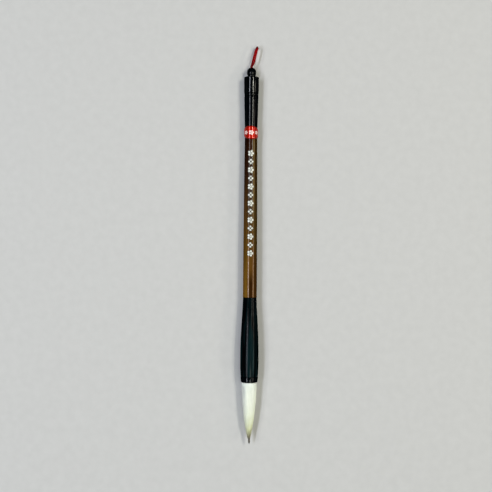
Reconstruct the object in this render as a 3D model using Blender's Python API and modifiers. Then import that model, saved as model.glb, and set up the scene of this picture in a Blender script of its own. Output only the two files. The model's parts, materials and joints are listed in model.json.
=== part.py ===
"""Calligraphy brush: a bamboo barrel with a bell ferrule, a layered hair tuft and a corded tail knob.

The brush lies along the Y axis, hair tip towards -Y and hanging loop towards +Y. It rests on the
widest band of its ferrule, and the origin is on that surface under the middle of its length.
Every turned piece is drawn along its own Z axis, tail end up, and one empty lays them all down.
Run with: blender --background --python part.py
"""

import math

import bmesh
import bpy
from mathutils import Vector

MM = 0.001

# Glue line or running clearance between any two pieces that meet.
GAP = 0.3 * MM

# Lengths along the brush, from the tip of the hair to the top of the knob.
HAIR_OUT_LENGTH = 40.9 * MM
LIP_LENGTH = 3.5 * MM
FERRULE_LENGTH = 52.7 * MM
BARREL_LENGTH = 109.1 * MM
SLEEVE_LENGTH = 24.3 * MM
SPACER_LENGTH = 1.9 * MM
HEAD_LENGTH = 10.9 * MM

# Hair tuft: three layers of hair, thickest just below the mouth.
HAIR_RADIUS = 4.95 * MM
HAIR_ROOT_DEPTH = 16.0 * MM
HAIR_SWELL_LENGTH = 1.1 * MM
HAIR_TIP_RADIUS = 0.12 * MM
HAIR_FULLNESS = 2.0
MANTLE_THICKNESS = 1.0 * MM
MANTLE_REACH = 0.88
PADDING_THICKNESS = 1.0 * MM
PADDING_REACH = 0.5
CORE_FULLNESS = 4.0
POINT_RADIUS = 0.6 * MM
POINT_START = 0.88
POINT_NOSE = 0.05

# Mouth ring: the lip that shows, and the bush behind it that holds the hair.
LIP_RADIUS = 5.8 * MM
LIP_NOSE_RADIUS = 5.55 * MM
LIP_ROUNDING = 0.6 * MM
LIP_FLARE = 0.5 * MM
BUSH_LENGTH = 8.0 * MM
BUSH_WALL = 0.5 * MM

# Ferrule: a turned bell.
FERRULE_TOP_RADIUS = 4.56 * MM
FERRULE_BELLY_RADIUS = 6.08 * MM
FERRULE_MOUTH_RADIUS = 5.76 * MM
FERRULE_TOP_ROUNDING = 0.45 * MM
FERRULE_BELLY_BAND = 6.5 * MM
FERRULE_TUCK_LENGTH = 8.8 * MM
FERRULE_BELL_POWER = 1.4
FERRULE_MOUTH_WALL = 0.5 * MM
FERRULE_SOCKET_WALL = 1.1 * MM
FERRULE_VENT_RADIUS = 1.6 * MM
SOCKET_DEPTH = 12.0 * MM
THREAD_WIDTH = 2.4 * MM
THREAD_TURNS = 3
RESIN_THICKNESS = 1.4 * MM

# Barrel: a length of bamboo culm, slimmer towards the tail.
BARREL_TAIL_RADIUS = 4.15 * MM
BARREL_RADIUS = 4.6 * MM
BARREL_TAPER_LENGTH = 100.0 * MM
BARREL_BORE_RADIUS = 1.7 * MM
TAIL_TENON_LENGTH = 15.0 * MM
EDGE_BREAK = 0.25 * MM

# Tail: sleeve, spacer, head and knob.
SLEEVE_TOP_RADIUS = 4.72 * MM
SLEEVE_WALL = 0.7 * MM
SPACER_RADIUS = 4.68 * MM
HEAD_RADIUS = 4.92 * MM
HEAD_FOOT_RADIUS = 4.85 * MM
HEAD_CHAMFER = 0.6 * MM
HEAD_SPIGOT_DEPTH = 6.0 * MM
HEAD_FLOOR = 2.0 * MM
BALL_RADIUS = 3.1 * MM
BALL_CENTRE_RISE = 2.86 * MM
BALL_CROWN = 3.9 * MM
KNOB_NECK_RADIUS = 2.6 * MM
KNOB_SPIGOT_LENGTH = 3.0 * MM
KNOB_SPIGOT_WALL = 0.47 * MM
KNOB_MOUTH_ROUNDING = 0.32 * MM

# Hanging loop: a limp cord, knotted inside the head and brought out through the knob.
CORD_DIAMETER = 1.2 * MM
STRAND_SPACING = 1.24 * MM
KNOT_LENGTH = 3.2 * MM
LOOP_PIVOT_RISE = 1.2 * MM
SWING_CLEARANCE = 0.35 * MM
LOOP_LEAN = math.radians(13.6)
LOOP_DROOP = math.radians(6.5)
LOOP_TILT_FOOT = math.radians(58.0)
LOOP_TILT_CROWN = math.radians(74.0)
LOOP_TWIST_REACH = 10.0 * MM
LOOP_BOW = 0.35 * MM
LOOP_BOW_REACH = 2.0 * MM

# Half of the loop's own outline, in mm: reach from the knob, and half of its opening there.
LOOP_HALF_ROUTE = (
    (0.0, 0.62),
    (2.0, 1.3),
    (4.5, 1.75),
    (7.2, 2.15),
    (9.8, 2.26),
    (11.6, 2.2),
    (12.95, 1.62),
    (13.75, 0.0),
)
LOOP_POINTS_PER_SPAN = 3

# Label: a thin oval of paper, wrapped over the joint of barrel and sleeve.
LABEL_WIDTH = 18.6 * MM
LABEL_LENGTH = 8.8 * MM
LABEL_OVAL = 1.7
LABEL_CROOK = math.radians(3.5)
LABEL_THICKNESS = 0.2 * MM
LABEL_COLUMNS = 24
LABEL_ROWS = 10
LABEL_SWEEP = math.radians(80.0)

# Sides of the turned pieces. Two more than a multiple of four puts a flat straight below the axis.
FINE_SIDES = 34
KNOB_SIDES = 26
INNER_SIDES = 22
KNOT_SIDES = 18
MERGE = 0.01 * MM

# Joint planes, measured from the hair tip.
MOUTH = HAIR_OUT_LENGTH
FERRULE_FOOT = MOUTH + LIP_LENGTH
FERRULE_TOP = FERRULE_FOOT + FERRULE_LENGTH
BARREL_TOP = FERRULE_TOP + BARREL_LENGTH
SLEEVE_TOP = BARREL_TOP + SLEEVE_LENGTH
HEAD_FOOT = SLEEVE_TOP + SPACER_LENGTH
SHOULDER = HEAD_FOOT + HEAD_LENGTH

# Bores and what fits in them, each from the piece outside it.
CAVITY_RADIUS = FERRULE_MOUTH_RADIUS - FERRULE_MOUTH_WALL
BUSH_RADIUS = CAVITY_RADIUS - GAP
BUSH_BORE_RADIUS = BUSH_RADIUS - BUSH_WALL
ROOT_RADIUS = BUSH_BORE_RADIUS - GAP
MANTLE_BORE_RADIUS = ROOT_RADIUS - MANTLE_THICKNESS
PADDING_RADIUS = MANTLE_BORE_RADIUS - GAP
CORE_RADIUS = PADDING_RADIUS - PADDING_THICKNESS - GAP
ROOT_END = MOUTH + HAIR_ROOT_DEPTH
SOCKET_RADIUS = FERRULE_TOP_RADIUS - FERRULE_SOCKET_WALL
SLEEVE_BORE_RADIUS = BARREL_TAIL_RADIUS - SLEEVE_WALL
TAIL_SPIGOT_RADIUS = SLEEVE_BORE_RADIUS - GAP

# The cord's way through the knob.
STEM_RADIUS = (STRAND_SPACING + CORD_DIAMETER) / 2
KNOB_BORE_RADIUS = STEM_RADIUS + GAP
KNOB_SPIGOT_RADIUS = KNOB_BORE_RADIUS + KNOB_SPIGOT_WALL
HEAD_BORE_RADIUS = KNOB_SPIGOT_RADIUS + GAP
KNOT_RADIUS = HEAD_BORE_RADIUS - GAP
MOUTH_RADIUS = KNOB_BORE_RADIUS + KNOB_MOUTH_ROUNDING
KNOB_TOP = BALL_CENTRE_RISE + BALL_CROWN * math.sqrt(1 - (MOUTH_RADIUS / BALL_RADIUS) ** 2)

TOTAL_LENGTH = SHOULDER + KNOB_TOP
AXIS_HEIGHT = FERRULE_BELLY_RADIUS * math.cos(math.pi / FINE_SIDES)


# ---------------------------------------------------------------- helpers

def clear_scene():
    """Start from an empty file."""
    for item in list(bpy.data.objects):
        bpy.data.objects.remove(item, do_unlink=True)


def make_material(name, colour, roughness, metallic=0.0):
    """A plain Principled finish."""
    material = bpy.data.materials.new(name)
    material.use_nodes = True
    shader = material.node_tree.nodes["Principled BSDF"]
    shader.inputs["Base Color"].default_value = (*colour, 1.0)
    shader.inputs["Roughness"].default_value = roughness
    shader.inputs["Metallic"].default_value = metallic
    material.diffuse_color = (*colour, 1.0)
    return material


def add_empty(name, parent, location, rotation=(0, 0, 0)):
    """An empty that carries or turns other pieces."""
    empty = bpy.data.objects.new(name, None)
    empty.empty_display_size = 5 * MM
    empty.location = location
    empty.rotation_euler = rotation
    empty.parent = parent
    parts.objects.link(empty)
    return empty


def add_object(name, data, parent, station, material):
    """Link a piece at its own station along the brush."""
    piece = bpy.data.objects.new(name, data)
    piece.parent = parent
    piece.location = (0, 0, station)
    data.materials.append(material)
    parts.objects.link(piece)
    return piece


def turned(name, outline, parent, station, material, sides, bored=True):
    """Turn an outline of (radius, height) points, from its top down the outside, into a solid.

    A bored piece's outline comes back up its bore and closes; a solid one's runs axis to axis.
    """
    mesh = bpy.data.meshes.new(name)
    sketch = bmesh.new()
    corners = [sketch.verts.new((radius, 0, height)) for radius, height in outline]
    for upper, lower in zip(corners, corners[1:]):
        sketch.edges.new((upper, lower))
    if bored:
        sketch.edges.new((corners[-1], corners[0]))
    sketch.to_mesh(mesh)
    sketch.free()
    piece = add_object(name, mesh, parent, station, material)
    screw = piece.modifiers.new("turn", "SCREW")
    screw.axis = "Z"
    screw.angle = math.tau
    screw.steps = sides
    screw.render_steps = sides
    screw.use_merge_vertices = True
    screw.merge_threshold = MERGE
    screw.use_smooth_shade = True
    return piece


def round_edge(radius, height, size, start, end, steps=3):
    """Points of a quarter-round edge: its centre, its size, and the angles it runs between."""
    angles = [math.radians(start + (end - start) * k / steps) for k in range(steps + 1)]
    return [(radius + size * math.cos(a), height + size * math.sin(a)) for a in angles]


def ease(share):
    """Rise smoothly from 0 to 1 and stay there."""
    return math.sin(math.pi / 2 * min(max(share, 0.0), 1.0))


# ---------------------------------------------------------------- hair

def tuft(share):
    """How much of its full radius the tuft keeps at a share of the way to its tip."""
    return max(1 - share ** HAIR_FULLNESS, 0.0)


def hair_below(share):
    """Height below the mouth at a share of the way to the tip."""
    return -share * HAIR_OUT_LENGTH


def mantle_outside(share):
    """The tuft leaves the ring at its root radius and swells out to its full radius."""
    swell = ease(share * HAIR_OUT_LENGTH / HAIR_SWELL_LENGTH)
    return ROOT_RADIUS + (HAIR_RADIUS * tuft(share) - ROOT_RADIUS) * swell


def core_outside(share):
    """Radius of the core: full for longer than the mantle, then one slim point with a blunt nose."""
    fullness = max(1 - (share / POINT_START) ** CORE_FULLNESS, 0.0)
    radius = POINT_RADIUS + (CORE_RADIUS - POINT_RADIUS) * fullness
    return max(radius * ease((1 - share) / POINT_NOSE), HAIR_TIP_RADIUS)


def mantle_inside(share):
    """Radius of the hollow in the mantle: over the padding, and further down over the core."""
    return max(MANTLE_BORE_RADIUS * tuft(share), core_outside(share) + GAP)


def make_mantle(parent, material):
    """Outer layer of soft white hair, open at its point where the core comes through."""
    first = HAIR_SWELL_LENGTH / HAIR_OUT_LENGTH
    shares = [0, first / 2, first]
    shares += [first + (MANTLE_REACH - first) * k / 10 for k in range(1, 11)]
    outline = [(ROOT_RADIUS, HAIR_ROOT_DEPTH)]
    outline += [(mantle_outside(s), hair_below(s)) for s in shares]
    outline += [(mantle_inside(s), hair_below(s)) for s in reversed(shares[2:])]
    outline += [(MANTLE_BORE_RADIUS, 0), (MANTLE_BORE_RADIUS, HAIR_ROOT_DEPTH)]
    return turned("mantle_hair", outline, parent, MOUTH, material, FINE_SIDES)


def make_padding(parent, material):
    """Short middle layer that gives the tuft its belly."""
    shares = [PADDING_REACH * k / 7 for k in range(8)]
    outside = [(PADDING_RADIUS - MANTLE_BORE_RADIUS * (1 - tuft(s)), hair_below(s)) for s in shares]
    inside = [(core_outside(s) + GAP, hair_below(s)) for s in reversed(shares)]
    outline = [(PADDING_RADIUS, HAIR_ROOT_DEPTH), *outside, *inside]
    outline += [(CORE_RADIUS + GAP, HAIR_ROOT_DEPTH)]
    return turned("padding_hair", outline, parent, MOUTH, material, INNER_SIDES)


def make_core(parent, material):
    """Stiff dark-tipped hair that runs the whole length and makes the point."""
    shares = [POINT_START * k / 9 for k in range(10)]
    shares += [1 - POINT_NOSE, 1 - POINT_NOSE / 2, 1 - POINT_NOSE / 6, 1]
    outline = [(0, HAIR_ROOT_DEPTH), (CORE_RADIUS, HAIR_ROOT_DEPTH)]
    outline += [(core_outside(s), hair_below(s)) for s in shares]
    outline += [(0, hair_below(1))]
    return turned("core_hair", outline, parent, MOUTH, material, INNER_SIDES, bored=False)


def make_root_thread(parent, material):
    """Binding thread, wound round the root of the hair behind the bush."""
    inside = ROOT_RADIUS + GAP
    pitch = THREAD_WIDTH / THREAD_TURNS
    outline = [(inside, THREAD_WIDTH)]
    for turn in range(THREAD_TURNS):
        top = THREAD_WIDTH - turn * pitch
        groove = BUSH_RADIUS - pitch / 4
        outline += [(groove, top), (BUSH_RADIUS, top - pitch * 0.3), (BUSH_RADIUS, top - pitch * 0.7)]
    outline += [(BUSH_RADIUS - pitch / 4, 0), (inside, 0)]
    foot = FERRULE_FOOT + BUSH_LENGTH + GAP
    return turned("root_thread", outline, parent, foot, material, INNER_SIDES)


def make_root_resin(parent, material):
    """Cake of rosin that seals the root of the hair."""
    outline = [(0, RESIN_THICKNESS), (BUSH_RADIUS, RESIN_THICKNESS), (BUSH_RADIUS, 0), (0, 0)]
    station = ROOT_END + GAP
    return turned("root_resin", outline, parent, station, material, INNER_SIDES, bored=False)


# ---------------------------------------------------------------- ferrule and barrel

def make_mouth_ring(parent, material):
    """Lip of the ferrule, turned in one with the bush that holds the hair."""
    lip_top = LIP_LENGTH
    lip_side = LIP_RADIUS - EDGE_BREAK
    nose_side = LIP_NOSE_RADIUS - LIP_ROUNDING
    outline = [(BUSH_BORE_RADIUS, lip_top + BUSH_LENGTH), (BUSH_RADIUS, lip_top + BUSH_LENGTH)]
    outline += [(BUSH_RADIUS, lip_top)]
    outline += round_edge(lip_side, lip_top - EDGE_BREAK, EDGE_BREAK, 90, 0, 2)
    outline += round_edge(nose_side, LIP_ROUNDING, LIP_ROUNDING, 0, -90)
    outline += [(BUSH_BORE_RADIUS + LIP_FLARE, 0), (BUSH_BORE_RADIUS, 2 * LIP_FLARE)]
    return turned("mouth_ring", outline, parent, MOUTH, material, FINE_SIDES)


def bell_radius(depth):
    """Outside radius of the ferrule at a depth below its top."""
    bell_length = FERRULE_LENGTH - FERRULE_TUCK_LENGTH - FERRULE_BELLY_BAND
    flare = ease(depth / bell_length) ** FERRULE_BELL_POWER
    return FERRULE_TOP_RADIUS + (FERRULE_BELLY_RADIUS - FERRULE_TOP_RADIUS) * flare


def make_ferrule(parent, material):
    """Bell turned from horn: a socket for the barrel above, a cavity for the hair below."""
    bell_length = FERRULE_LENGTH - FERRULE_TUCK_LENGTH - FERRULE_BELLY_BAND
    top = FERRULE_LENGTH
    cavity_top = HAIR_ROOT_DEPTH - LIP_LENGTH + RESIN_THICKNESS + 2 * GAP
    outline = [(SOCKET_RADIUS + EDGE_BREAK, top)]
    edge = FERRULE_TOP_ROUNDING
    outline += round_edge(FERRULE_TOP_RADIUS - edge, top - edge, edge, 90, 0)
    depths = [bell_length * k / 11 for k in range(1, 12)]
    outline += [(bell_radius(depth), top - depth) for depth in depths]
    narrowing = FERRULE_BELLY_RADIUS - FERRULE_MOUTH_RADIUS
    tuck_foot = GAP + EDGE_BREAK
    for k in range(5):
        share = k / 4
        radius = FERRULE_BELLY_RADIUS - narrowing * (1 - math.cos(math.pi / 2 * share))
        outline.append((radius, FERRULE_TUCK_LENGTH + (tuck_foot - FERRULE_TUCK_LENGTH) * share))
    outline += [(FERRULE_MOUTH_RADIUS - EDGE_BREAK, GAP)]
    outline += [(CAVITY_RADIUS, GAP), (CAVITY_RADIUS, cavity_top), (FERRULE_VENT_RADIUS, cavity_top)]
    outline += [(FERRULE_VENT_RADIUS, top - SOCKET_DEPTH), (SOCKET_RADIUS, top - SOCKET_DEPTH)]
    outline += [(SOCKET_RADIUS, top - EDGE_BREAK)]
    return turned("ferrule", outline, parent, FERRULE_FOOT, material, FINE_SIDES)


def culm_radius(depth):
    """Outside radius of the barrel at a depth below the sleeve."""
    return BARREL_TAIL_RADIUS + (BARREL_RADIUS - BARREL_TAIL_RADIUS) * ease(depth / BARREL_TAPER_LENGTH)


def make_barrel(parent, material):
    """Bamboo culm with its own bore, turned down to a tenon at both ends."""
    top = BARREL_LENGTH
    tail_tenon_top = top + TAIL_TENON_LENGTH
    foot_tenon = GAP - SOCKET_DEPTH
    foot_tenon_radius = SOCKET_RADIUS - GAP
    outline = [(BARREL_BORE_RADIUS, tail_tenon_top)]
    outline += [(TAIL_SPIGOT_RADIUS - EDGE_BREAK, tail_tenon_top)]
    outline += [(TAIL_SPIGOT_RADIUS, tail_tenon_top - EDGE_BREAK), (TAIL_SPIGOT_RADIUS, top)]
    outline += [(BARREL_TAIL_RADIUS, top)]
    depths = [BARREL_TAPER_LENGTH * k / 5 for k in range(1, 6)]
    outline += [(culm_radius(depth), top - depth) for depth in depths if depth < BARREL_LENGTH - EDGE_BREAK]
    outline += [(culm_radius(BARREL_LENGTH), GAP + EDGE_BREAK)]
    outline += [(culm_radius(BARREL_LENGTH) - EDGE_BREAK, GAP), (foot_tenon_radius, GAP)]
    outline += [(foot_tenon_radius, foot_tenon + EDGE_BREAK), (foot_tenon_radius - EDGE_BREAK, foot_tenon)]
    outline += [(BARREL_BORE_RADIUS, foot_tenon)]
    return turned("barrel", outline, parent, FERRULE_TOP, material, FINE_SIDES)


# ---------------------------------------------------------------- tail

def make_tail_sleeve(parent, material):
    """Black sleeve over the tenon at the tail end of the barrel."""
    top = SLEEVE_LENGTH
    outline = [(SLEEVE_BORE_RADIUS, top), (SLEEVE_TOP_RADIUS - EDGE_BREAK, top)]
    outline += [(SLEEVE_TOP_RADIUS, top - EDGE_BREAK), (BARREL_TAIL_RADIUS, GAP)]
    outline += [(SLEEVE_BORE_RADIUS, GAP)]
    return turned("tail_sleeve", outline, parent, BARREL_TOP, material, FINE_SIDES)


def make_spacer_ring(parent, material):
    """Narrow round-edged ring between sleeve and head."""
    edge = (SPACER_LENGTH - GAP) * 0.3
    top = SPACER_LENGTH
    side = SPACER_RADIUS - edge
    outline = [(SLEEVE_BORE_RADIUS, top)]
    outline += round_edge(side, top - edge, edge, 90, 0)
    outline += round_edge(side, GAP + edge, edge, 0, -90)
    outline += [(SLEEVE_BORE_RADIUS, GAP)]
    return turned("spacer_ring", outline, parent, SLEEVE_TOP, material, FINE_SIDES)


def make_tail_head(parent, material):
    """Head of the tail: a spigot down into the sleeve, and a well for the knot above."""
    top = HEAD_LENGTH
    spigot_foot = -SPACER_LENGTH - HEAD_SPIGOT_DEPTH
    outline = [(HEAD_BORE_RADIUS, top), (HEAD_RADIUS - HEAD_CHAMFER, top)]
    outline += [(HEAD_RADIUS - HEAD_CHAMFER * 0.3, top - HEAD_CHAMFER * 0.3)]
    outline += [(HEAD_RADIUS, top - HEAD_CHAMFER)]
    outline += [(HEAD_FOOT_RADIUS, GAP + EDGE_BREAK), (HEAD_FOOT_RADIUS - EDGE_BREAK, GAP)]
    outline += [(TAIL_SPIGOT_RADIUS, GAP), (TAIL_SPIGOT_RADIUS, spigot_foot + EDGE_BREAK)]
    outline += [(TAIL_SPIGOT_RADIUS - EDGE_BREAK, spigot_foot), (0, spigot_foot)]
    outline += [(0, HEAD_FLOOR)]
    outline += [(HEAD_BORE_RADIUS, HEAD_FLOOR)]
    # The outline runs axis to axis: the well's wall comes first, so the list starts at its floor.
    outline = outline[-2:] + outline[:-2]
    return turned("tail_head", outline, parent, HEAD_FOOT, material, FINE_SIDES, bored=False)


def make_tail_knob(parent, material):
    """Ball on a neck, drilled through for the cord, with a spigot into the head."""
    rounding = KNOB_MOUTH_ROUNDING
    mouth_angle = math.asin(MOUTH_RADIUS / BALL_RADIUS)
    neck_angle = math.asin(KNOB_NECK_RADIUS / BALL_RADIUS)
    upper = [mouth_angle + (math.pi / 2 - mouth_angle) * k / 7 for k in range(8)]
    lower = [math.pi / 2 - (math.pi / 2 - neck_angle) * k / 4 for k in range(1, 5)]
    outline = round_edge(MOUTH_RADIUS, KNOB_TOP - rounding, rounding, 180, 90, 2)[:-1]
    outline += [(BALL_RADIUS * math.sin(a), BALL_CENTRE_RISE + BALL_CROWN * math.cos(a)) for a in upper]
    outline += [(BALL_RADIUS * math.sin(a), BALL_CENTRE_RISE - BALL_RADIUS * math.cos(a)) for a in lower]
    outline += [(KNOB_NECK_RADIUS, GAP), (KNOB_SPIGOT_RADIUS, GAP)]
    outline += [(KNOB_SPIGOT_RADIUS, -KNOB_SPIGOT_LENGTH), (KNOB_BORE_RADIUS, -KNOB_SPIGOT_LENGTH)]
    return turned("tail_knob", outline, parent, SHOULDER, material, KNOB_SIDES)


# ---------------------------------------------------------------- hanging loop

def make_loop_knot(parent, material):
    """Knot in the head's well, with the two strands' stem up through the knob's bore."""
    stem_top = -(CORD_DIAMETER / 2 + SWING_CLEARANCE)
    knot_top = -(KNOB_TOP + LOOP_PIVOT_RISE + KNOB_SPIGOT_LENGTH + GAP)
    centre = knot_top - KNOT_LENGTH / 2
    angles = [math.radians(a) for a in (38, 55, 72, 90, 108, 125, 142, 160)]
    outline = [(0, stem_top), (STEM_RADIUS, stem_top)]
    outline += [(KNOT_RADIUS * math.sin(a), centre + KNOT_LENGTH / 2 * math.cos(a)) for a in angles]
    outline += [(0, knot_top - KNOT_LENGTH)]
    return turned("loop_knot", outline, parent, 0, material, KNOT_SIDES, bored=False)


def loop_frame():
    """Directions along the loop, to its side and up from it, with +Y down and +Z along the brush."""
    level = math.cos(LOOP_DROOP)
    along = Vector((math.sin(LOOP_LEAN) * level, math.sin(LOOP_DROOP), math.cos(LOOP_LEAN) * level))
    side = Vector((math.cos(LOOP_LEAN), 0, -math.sin(LOOP_LEAN)))
    up = side.cross(along).normalized()
    if up.y > 0:
        up.negate()
    return along, side, up


def loop_point(reach, half):
    """A point of the loop: half an opening out from its middle line, which leaves the knob in a bow."""
    along, side, up = loop_frame()
    tilt = LOOP_TILT_FOOT + (LOOP_TILT_CROWN - LOOP_TILT_FOOT) * ease(reach / LOOP_TWIST_REACH)
    middle = along * reach + side * LOOP_BOW * ease(reach / LOOP_BOW_REACH)
    return middle + (side * math.cos(tilt) + up * math.sin(tilt)) * half


def smooth_route(points, steps):
    """Points along a Catmull-Rom curve through the given ones."""
    ends = [points[0] * 2 - points[1], *points, points[-1] * 2 - points[-2]]
    route = []
    for a, b, c, d in zip(ends, ends[1:], ends[2:], ends[3:]):
        for k in range(steps):
            t = k / steps
            route.append(
                0.5 * (2 * b + (c - a) * t + (2 * a - 5 * b + 4 * c - d) * t ** 2
                       + (3 * b - a - 3 * c + d) * t ** 3)
            )
    return [*route, points[-1]]


def make_hanging_loop(parent, material):
    """Open loop of cord, out of the knob and back into it."""
    out = [loop_point(reach * MM, half * MM) for reach, half in LOOP_HALF_ROUTE]
    back = [loop_point(reach * MM, -half * MM) for reach, half in reversed(LOOP_HALF_ROUTE[:-1])]
    route = smooth_route(out + back, LOOP_POINTS_PER_SPAN)
    curve = bpy.data.curves.new("hanging_loop", "CURVE")
    curve.dimensions = "3D"
    curve.bevel_depth = CORD_DIAMETER / 2
    curve.bevel_resolution = 2
    curve.use_fill_caps = True
    curve.render_resolution_u = 0
    spline = curve.splines.new("POLY")
    spline.points.add(len(route) - 1)
    for point, place in zip(spline.points, route):
        point.co = (*place, 1)
    return add_object("hanging_loop", curve, parent, 0, material)


# ---------------------------------------------------------------- label

def sleeve_radius(height):
    """Radius under the label at a height above the joint of barrel and sleeve."""
    if height < 0:
        return culm_radius(-height)
    return BARREL_TAIL_RADIUS + (SLEEVE_TOP_RADIUS - BARREL_TAIL_RADIUS) * height / SLEEVE_LENGTH


def make_label(parent, material):
    """Oval of paper bent round the barrel a little crooked, its middle straight above the axis."""
    mesh = bpy.data.meshes.new("label")
    sheet = bmesh.new()
    bmesh.ops.create_grid(sheet, x_segments=LABEL_COLUMNS, y_segments=LABEL_ROWS, size=1.0)
    for corner in sheet.verts:
        rise = math.sin(corner.co.y * LABEL_SWEEP)
        width = LABEL_WIDTH / 2 * corner.co.x * (1 - abs(rise) ** LABEL_OVAL) ** (1 / LABEL_OVAL)
        height = LABEL_LENGTH / 2 * rise
        station = height * math.cos(LABEL_CROOK) - width * math.sin(LABEL_CROOK)
        radius = sleeve_radius(station) + GAP
        turn = (width * math.cos(LABEL_CROOK) + height * math.sin(LABEL_CROOK)) / radius
        corner.co = (radius * math.sin(turn), -radius * math.cos(turn), station)
    bmesh.ops.recalc_face_normals(sheet, faces=sheet.faces)
    middle = min(sheet.faces, key=lambda face: face.calc_center_median().length_squared)
    if middle.normal.dot(middle.calc_center_median()) < 0:
        bmesh.ops.reverse_faces(sheet, faces=sheet.faces)
    sheet.to_mesh(mesh)
    sheet.free()
    mesh.shade_smooth()
    piece = add_object("label", mesh, parent, BARREL_TOP, material)
    paper = piece.modifiers.new("paper", "SOLIDIFY")
    paper.thickness = LABEL_THICKNESS
    paper.offset = 1
    return piece


# ---------------------------------------------------------------- the brush

clear_scene()
parts = bpy.data.collections.new("calligraphy_brush")
bpy.context.scene.collection.children.link(parts)

black = make_material("polished_black", (0.006, 0.009, 0.010), 0.18)
bamboo = make_material("varnished_bamboo", (0.10, 0.05, 0.018), 0.3)
white_hair = make_material("goat_hair", (0.83, 0.87, 0.74), 0.75)
dark_hair = make_material("weasel_hair", (0.22, 0.18, 0.10), 0.7)
red_cord = make_material("red_cord", (0.28, 0.004, 0.008), 0.7)
red_paper = make_material("red_paper", (0.38, 0.012, 0.008), 0.35)
rosin = make_material("rosin", (0.30, 0.13, 0.03), 0.25)
thread = make_material("linen_thread", (0.55, 0.48, 0.36), 0.8)

brush_axis = add_empty("brush_axis", None, (0, -TOTAL_LENGTH / 2, AXIS_HEIGHT), (-math.pi / 2, 0, 0))
loop_pivot = SHOULDER + KNOB_TOP + LOOP_PIVOT_RISE
twist_axis = add_empty("loop_twist_axis", brush_axis, (0, 0, loop_pivot))
swing_axis = add_empty("loop_swing_axis", twist_axis, (0, 0, 0))

make_core(brush_axis, dark_hair)
make_padding(brush_axis, white_hair)
make_mantle(brush_axis, white_hair)
make_root_thread(brush_axis, thread)
make_root_resin(brush_axis, rosin)
make_mouth_ring(brush_axis, black)
make_ferrule(brush_axis, black)
make_barrel(brush_axis, bamboo)
make_tail_sleeve(brush_axis, black)
make_label(brush_axis, red_paper)
make_spacer_ring(brush_axis, black)
make_tail_head(brush_axis, black)
make_tail_knob(brush_axis, black)
make_loop_knot(twist_axis, red_cord)
make_hanging_loop(swing_axis, red_cord)
bpy.context.view_layer.update()
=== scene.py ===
# %% [markdown]
# # A calligraphy brush
#
# The real brush is a stick of varnished bamboo. A bell turned from black horn sits on its foot and
# grips a tuft of goat hair that ends in a dark point. A black sleeve, a ring and a head with a ball
# sit on its tail, and a loop of red cord comes out of the ball to hang it by.
#
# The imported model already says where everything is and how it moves. This lesson gives each piece
# its fine shape and its finish, in the place that the model gives it. A cylinder with a picture on
# it would be quicker, but it has no edges to catch the light and no hairs to cast a shadow.

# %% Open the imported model
import json
import math
import random

import bmesh
import bpy
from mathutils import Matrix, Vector


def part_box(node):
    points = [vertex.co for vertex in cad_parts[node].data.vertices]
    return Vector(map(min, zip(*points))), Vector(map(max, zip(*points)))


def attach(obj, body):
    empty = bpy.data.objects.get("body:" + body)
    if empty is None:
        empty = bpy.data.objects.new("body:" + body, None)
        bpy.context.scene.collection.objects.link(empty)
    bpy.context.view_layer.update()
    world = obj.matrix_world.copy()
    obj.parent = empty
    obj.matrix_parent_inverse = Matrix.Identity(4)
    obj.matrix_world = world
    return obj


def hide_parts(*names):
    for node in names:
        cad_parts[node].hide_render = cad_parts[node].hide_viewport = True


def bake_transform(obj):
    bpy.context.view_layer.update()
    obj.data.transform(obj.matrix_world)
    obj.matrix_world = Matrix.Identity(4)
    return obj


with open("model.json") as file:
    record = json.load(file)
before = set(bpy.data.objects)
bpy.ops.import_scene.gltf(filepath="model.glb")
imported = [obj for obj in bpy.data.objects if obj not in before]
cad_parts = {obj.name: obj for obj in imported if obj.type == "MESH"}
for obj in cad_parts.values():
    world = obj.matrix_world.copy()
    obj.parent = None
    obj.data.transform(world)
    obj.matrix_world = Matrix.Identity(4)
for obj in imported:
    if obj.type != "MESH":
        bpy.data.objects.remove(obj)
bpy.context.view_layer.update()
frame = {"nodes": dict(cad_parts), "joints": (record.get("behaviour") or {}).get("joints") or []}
MM = 0.001

# %% [markdown]
# ## Where the pieces meet
#
# Everything on the brush is turned about one axis, which lies along Y. So most of a piece's place
# is three numbers: where it begins, where it ends and how wide it is. They are read from the
# model's own boxes, in millimetres, so that no number has to be typed twice.

# %% Measure the model
def span(node):
    """Where a node begins and ends along the brush, and its half width, in mm."""
    low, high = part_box(node)
    return low.y / MM, high.y / MM, (high.x - low.x) / 2 / MM


GAP = 0.3
FERRULE_LOW, FERRULE_TOP, BELLY = span("ferrule")
MOUTH = span("mouth_ring")[0]
JOINT = span("tail_sleeve")[0] - GAP
SLEEVE_TOP = span("tail_sleeve")[1]
HEAD_FOOT = span("spacer_ring")[1]
SHOULDER = span("tail_head")[1]
KNOB_TOP = span("tail_knob")[1]
HAIR_TIP = span("core_hair")[0]
belly_low, belly_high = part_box("ferrule")
AXIS = (belly_low.z + belly_high.z) / 2 / MM
ROUND = AXIS / BELLY
print("axis", round(AXIS, 3), "mm up; hair", round(MOUTH - HAIR_TIP, 1), "mm long")

# %% [markdown]
# ## Nodes and colours
#
# Every finish and every rule below is a tree of nodes. One function adds a node, with its settings
# and with what feeds it. Colours are written as they look on a screen, so one function turns them
# into the linear light that the renderer counts in.

# %% Node and colour tools
def paint(code):
    """A hex colour as seen on screen, in linear light."""
    parts = [int(code[k:k + 2], 16) / 255 for k in (1, 3, 5)]
    return (*[p / 12.92 if p <= 0.04045 else ((p + 0.055) / 1.055) ** 2.4 for p in parts], 1)


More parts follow.
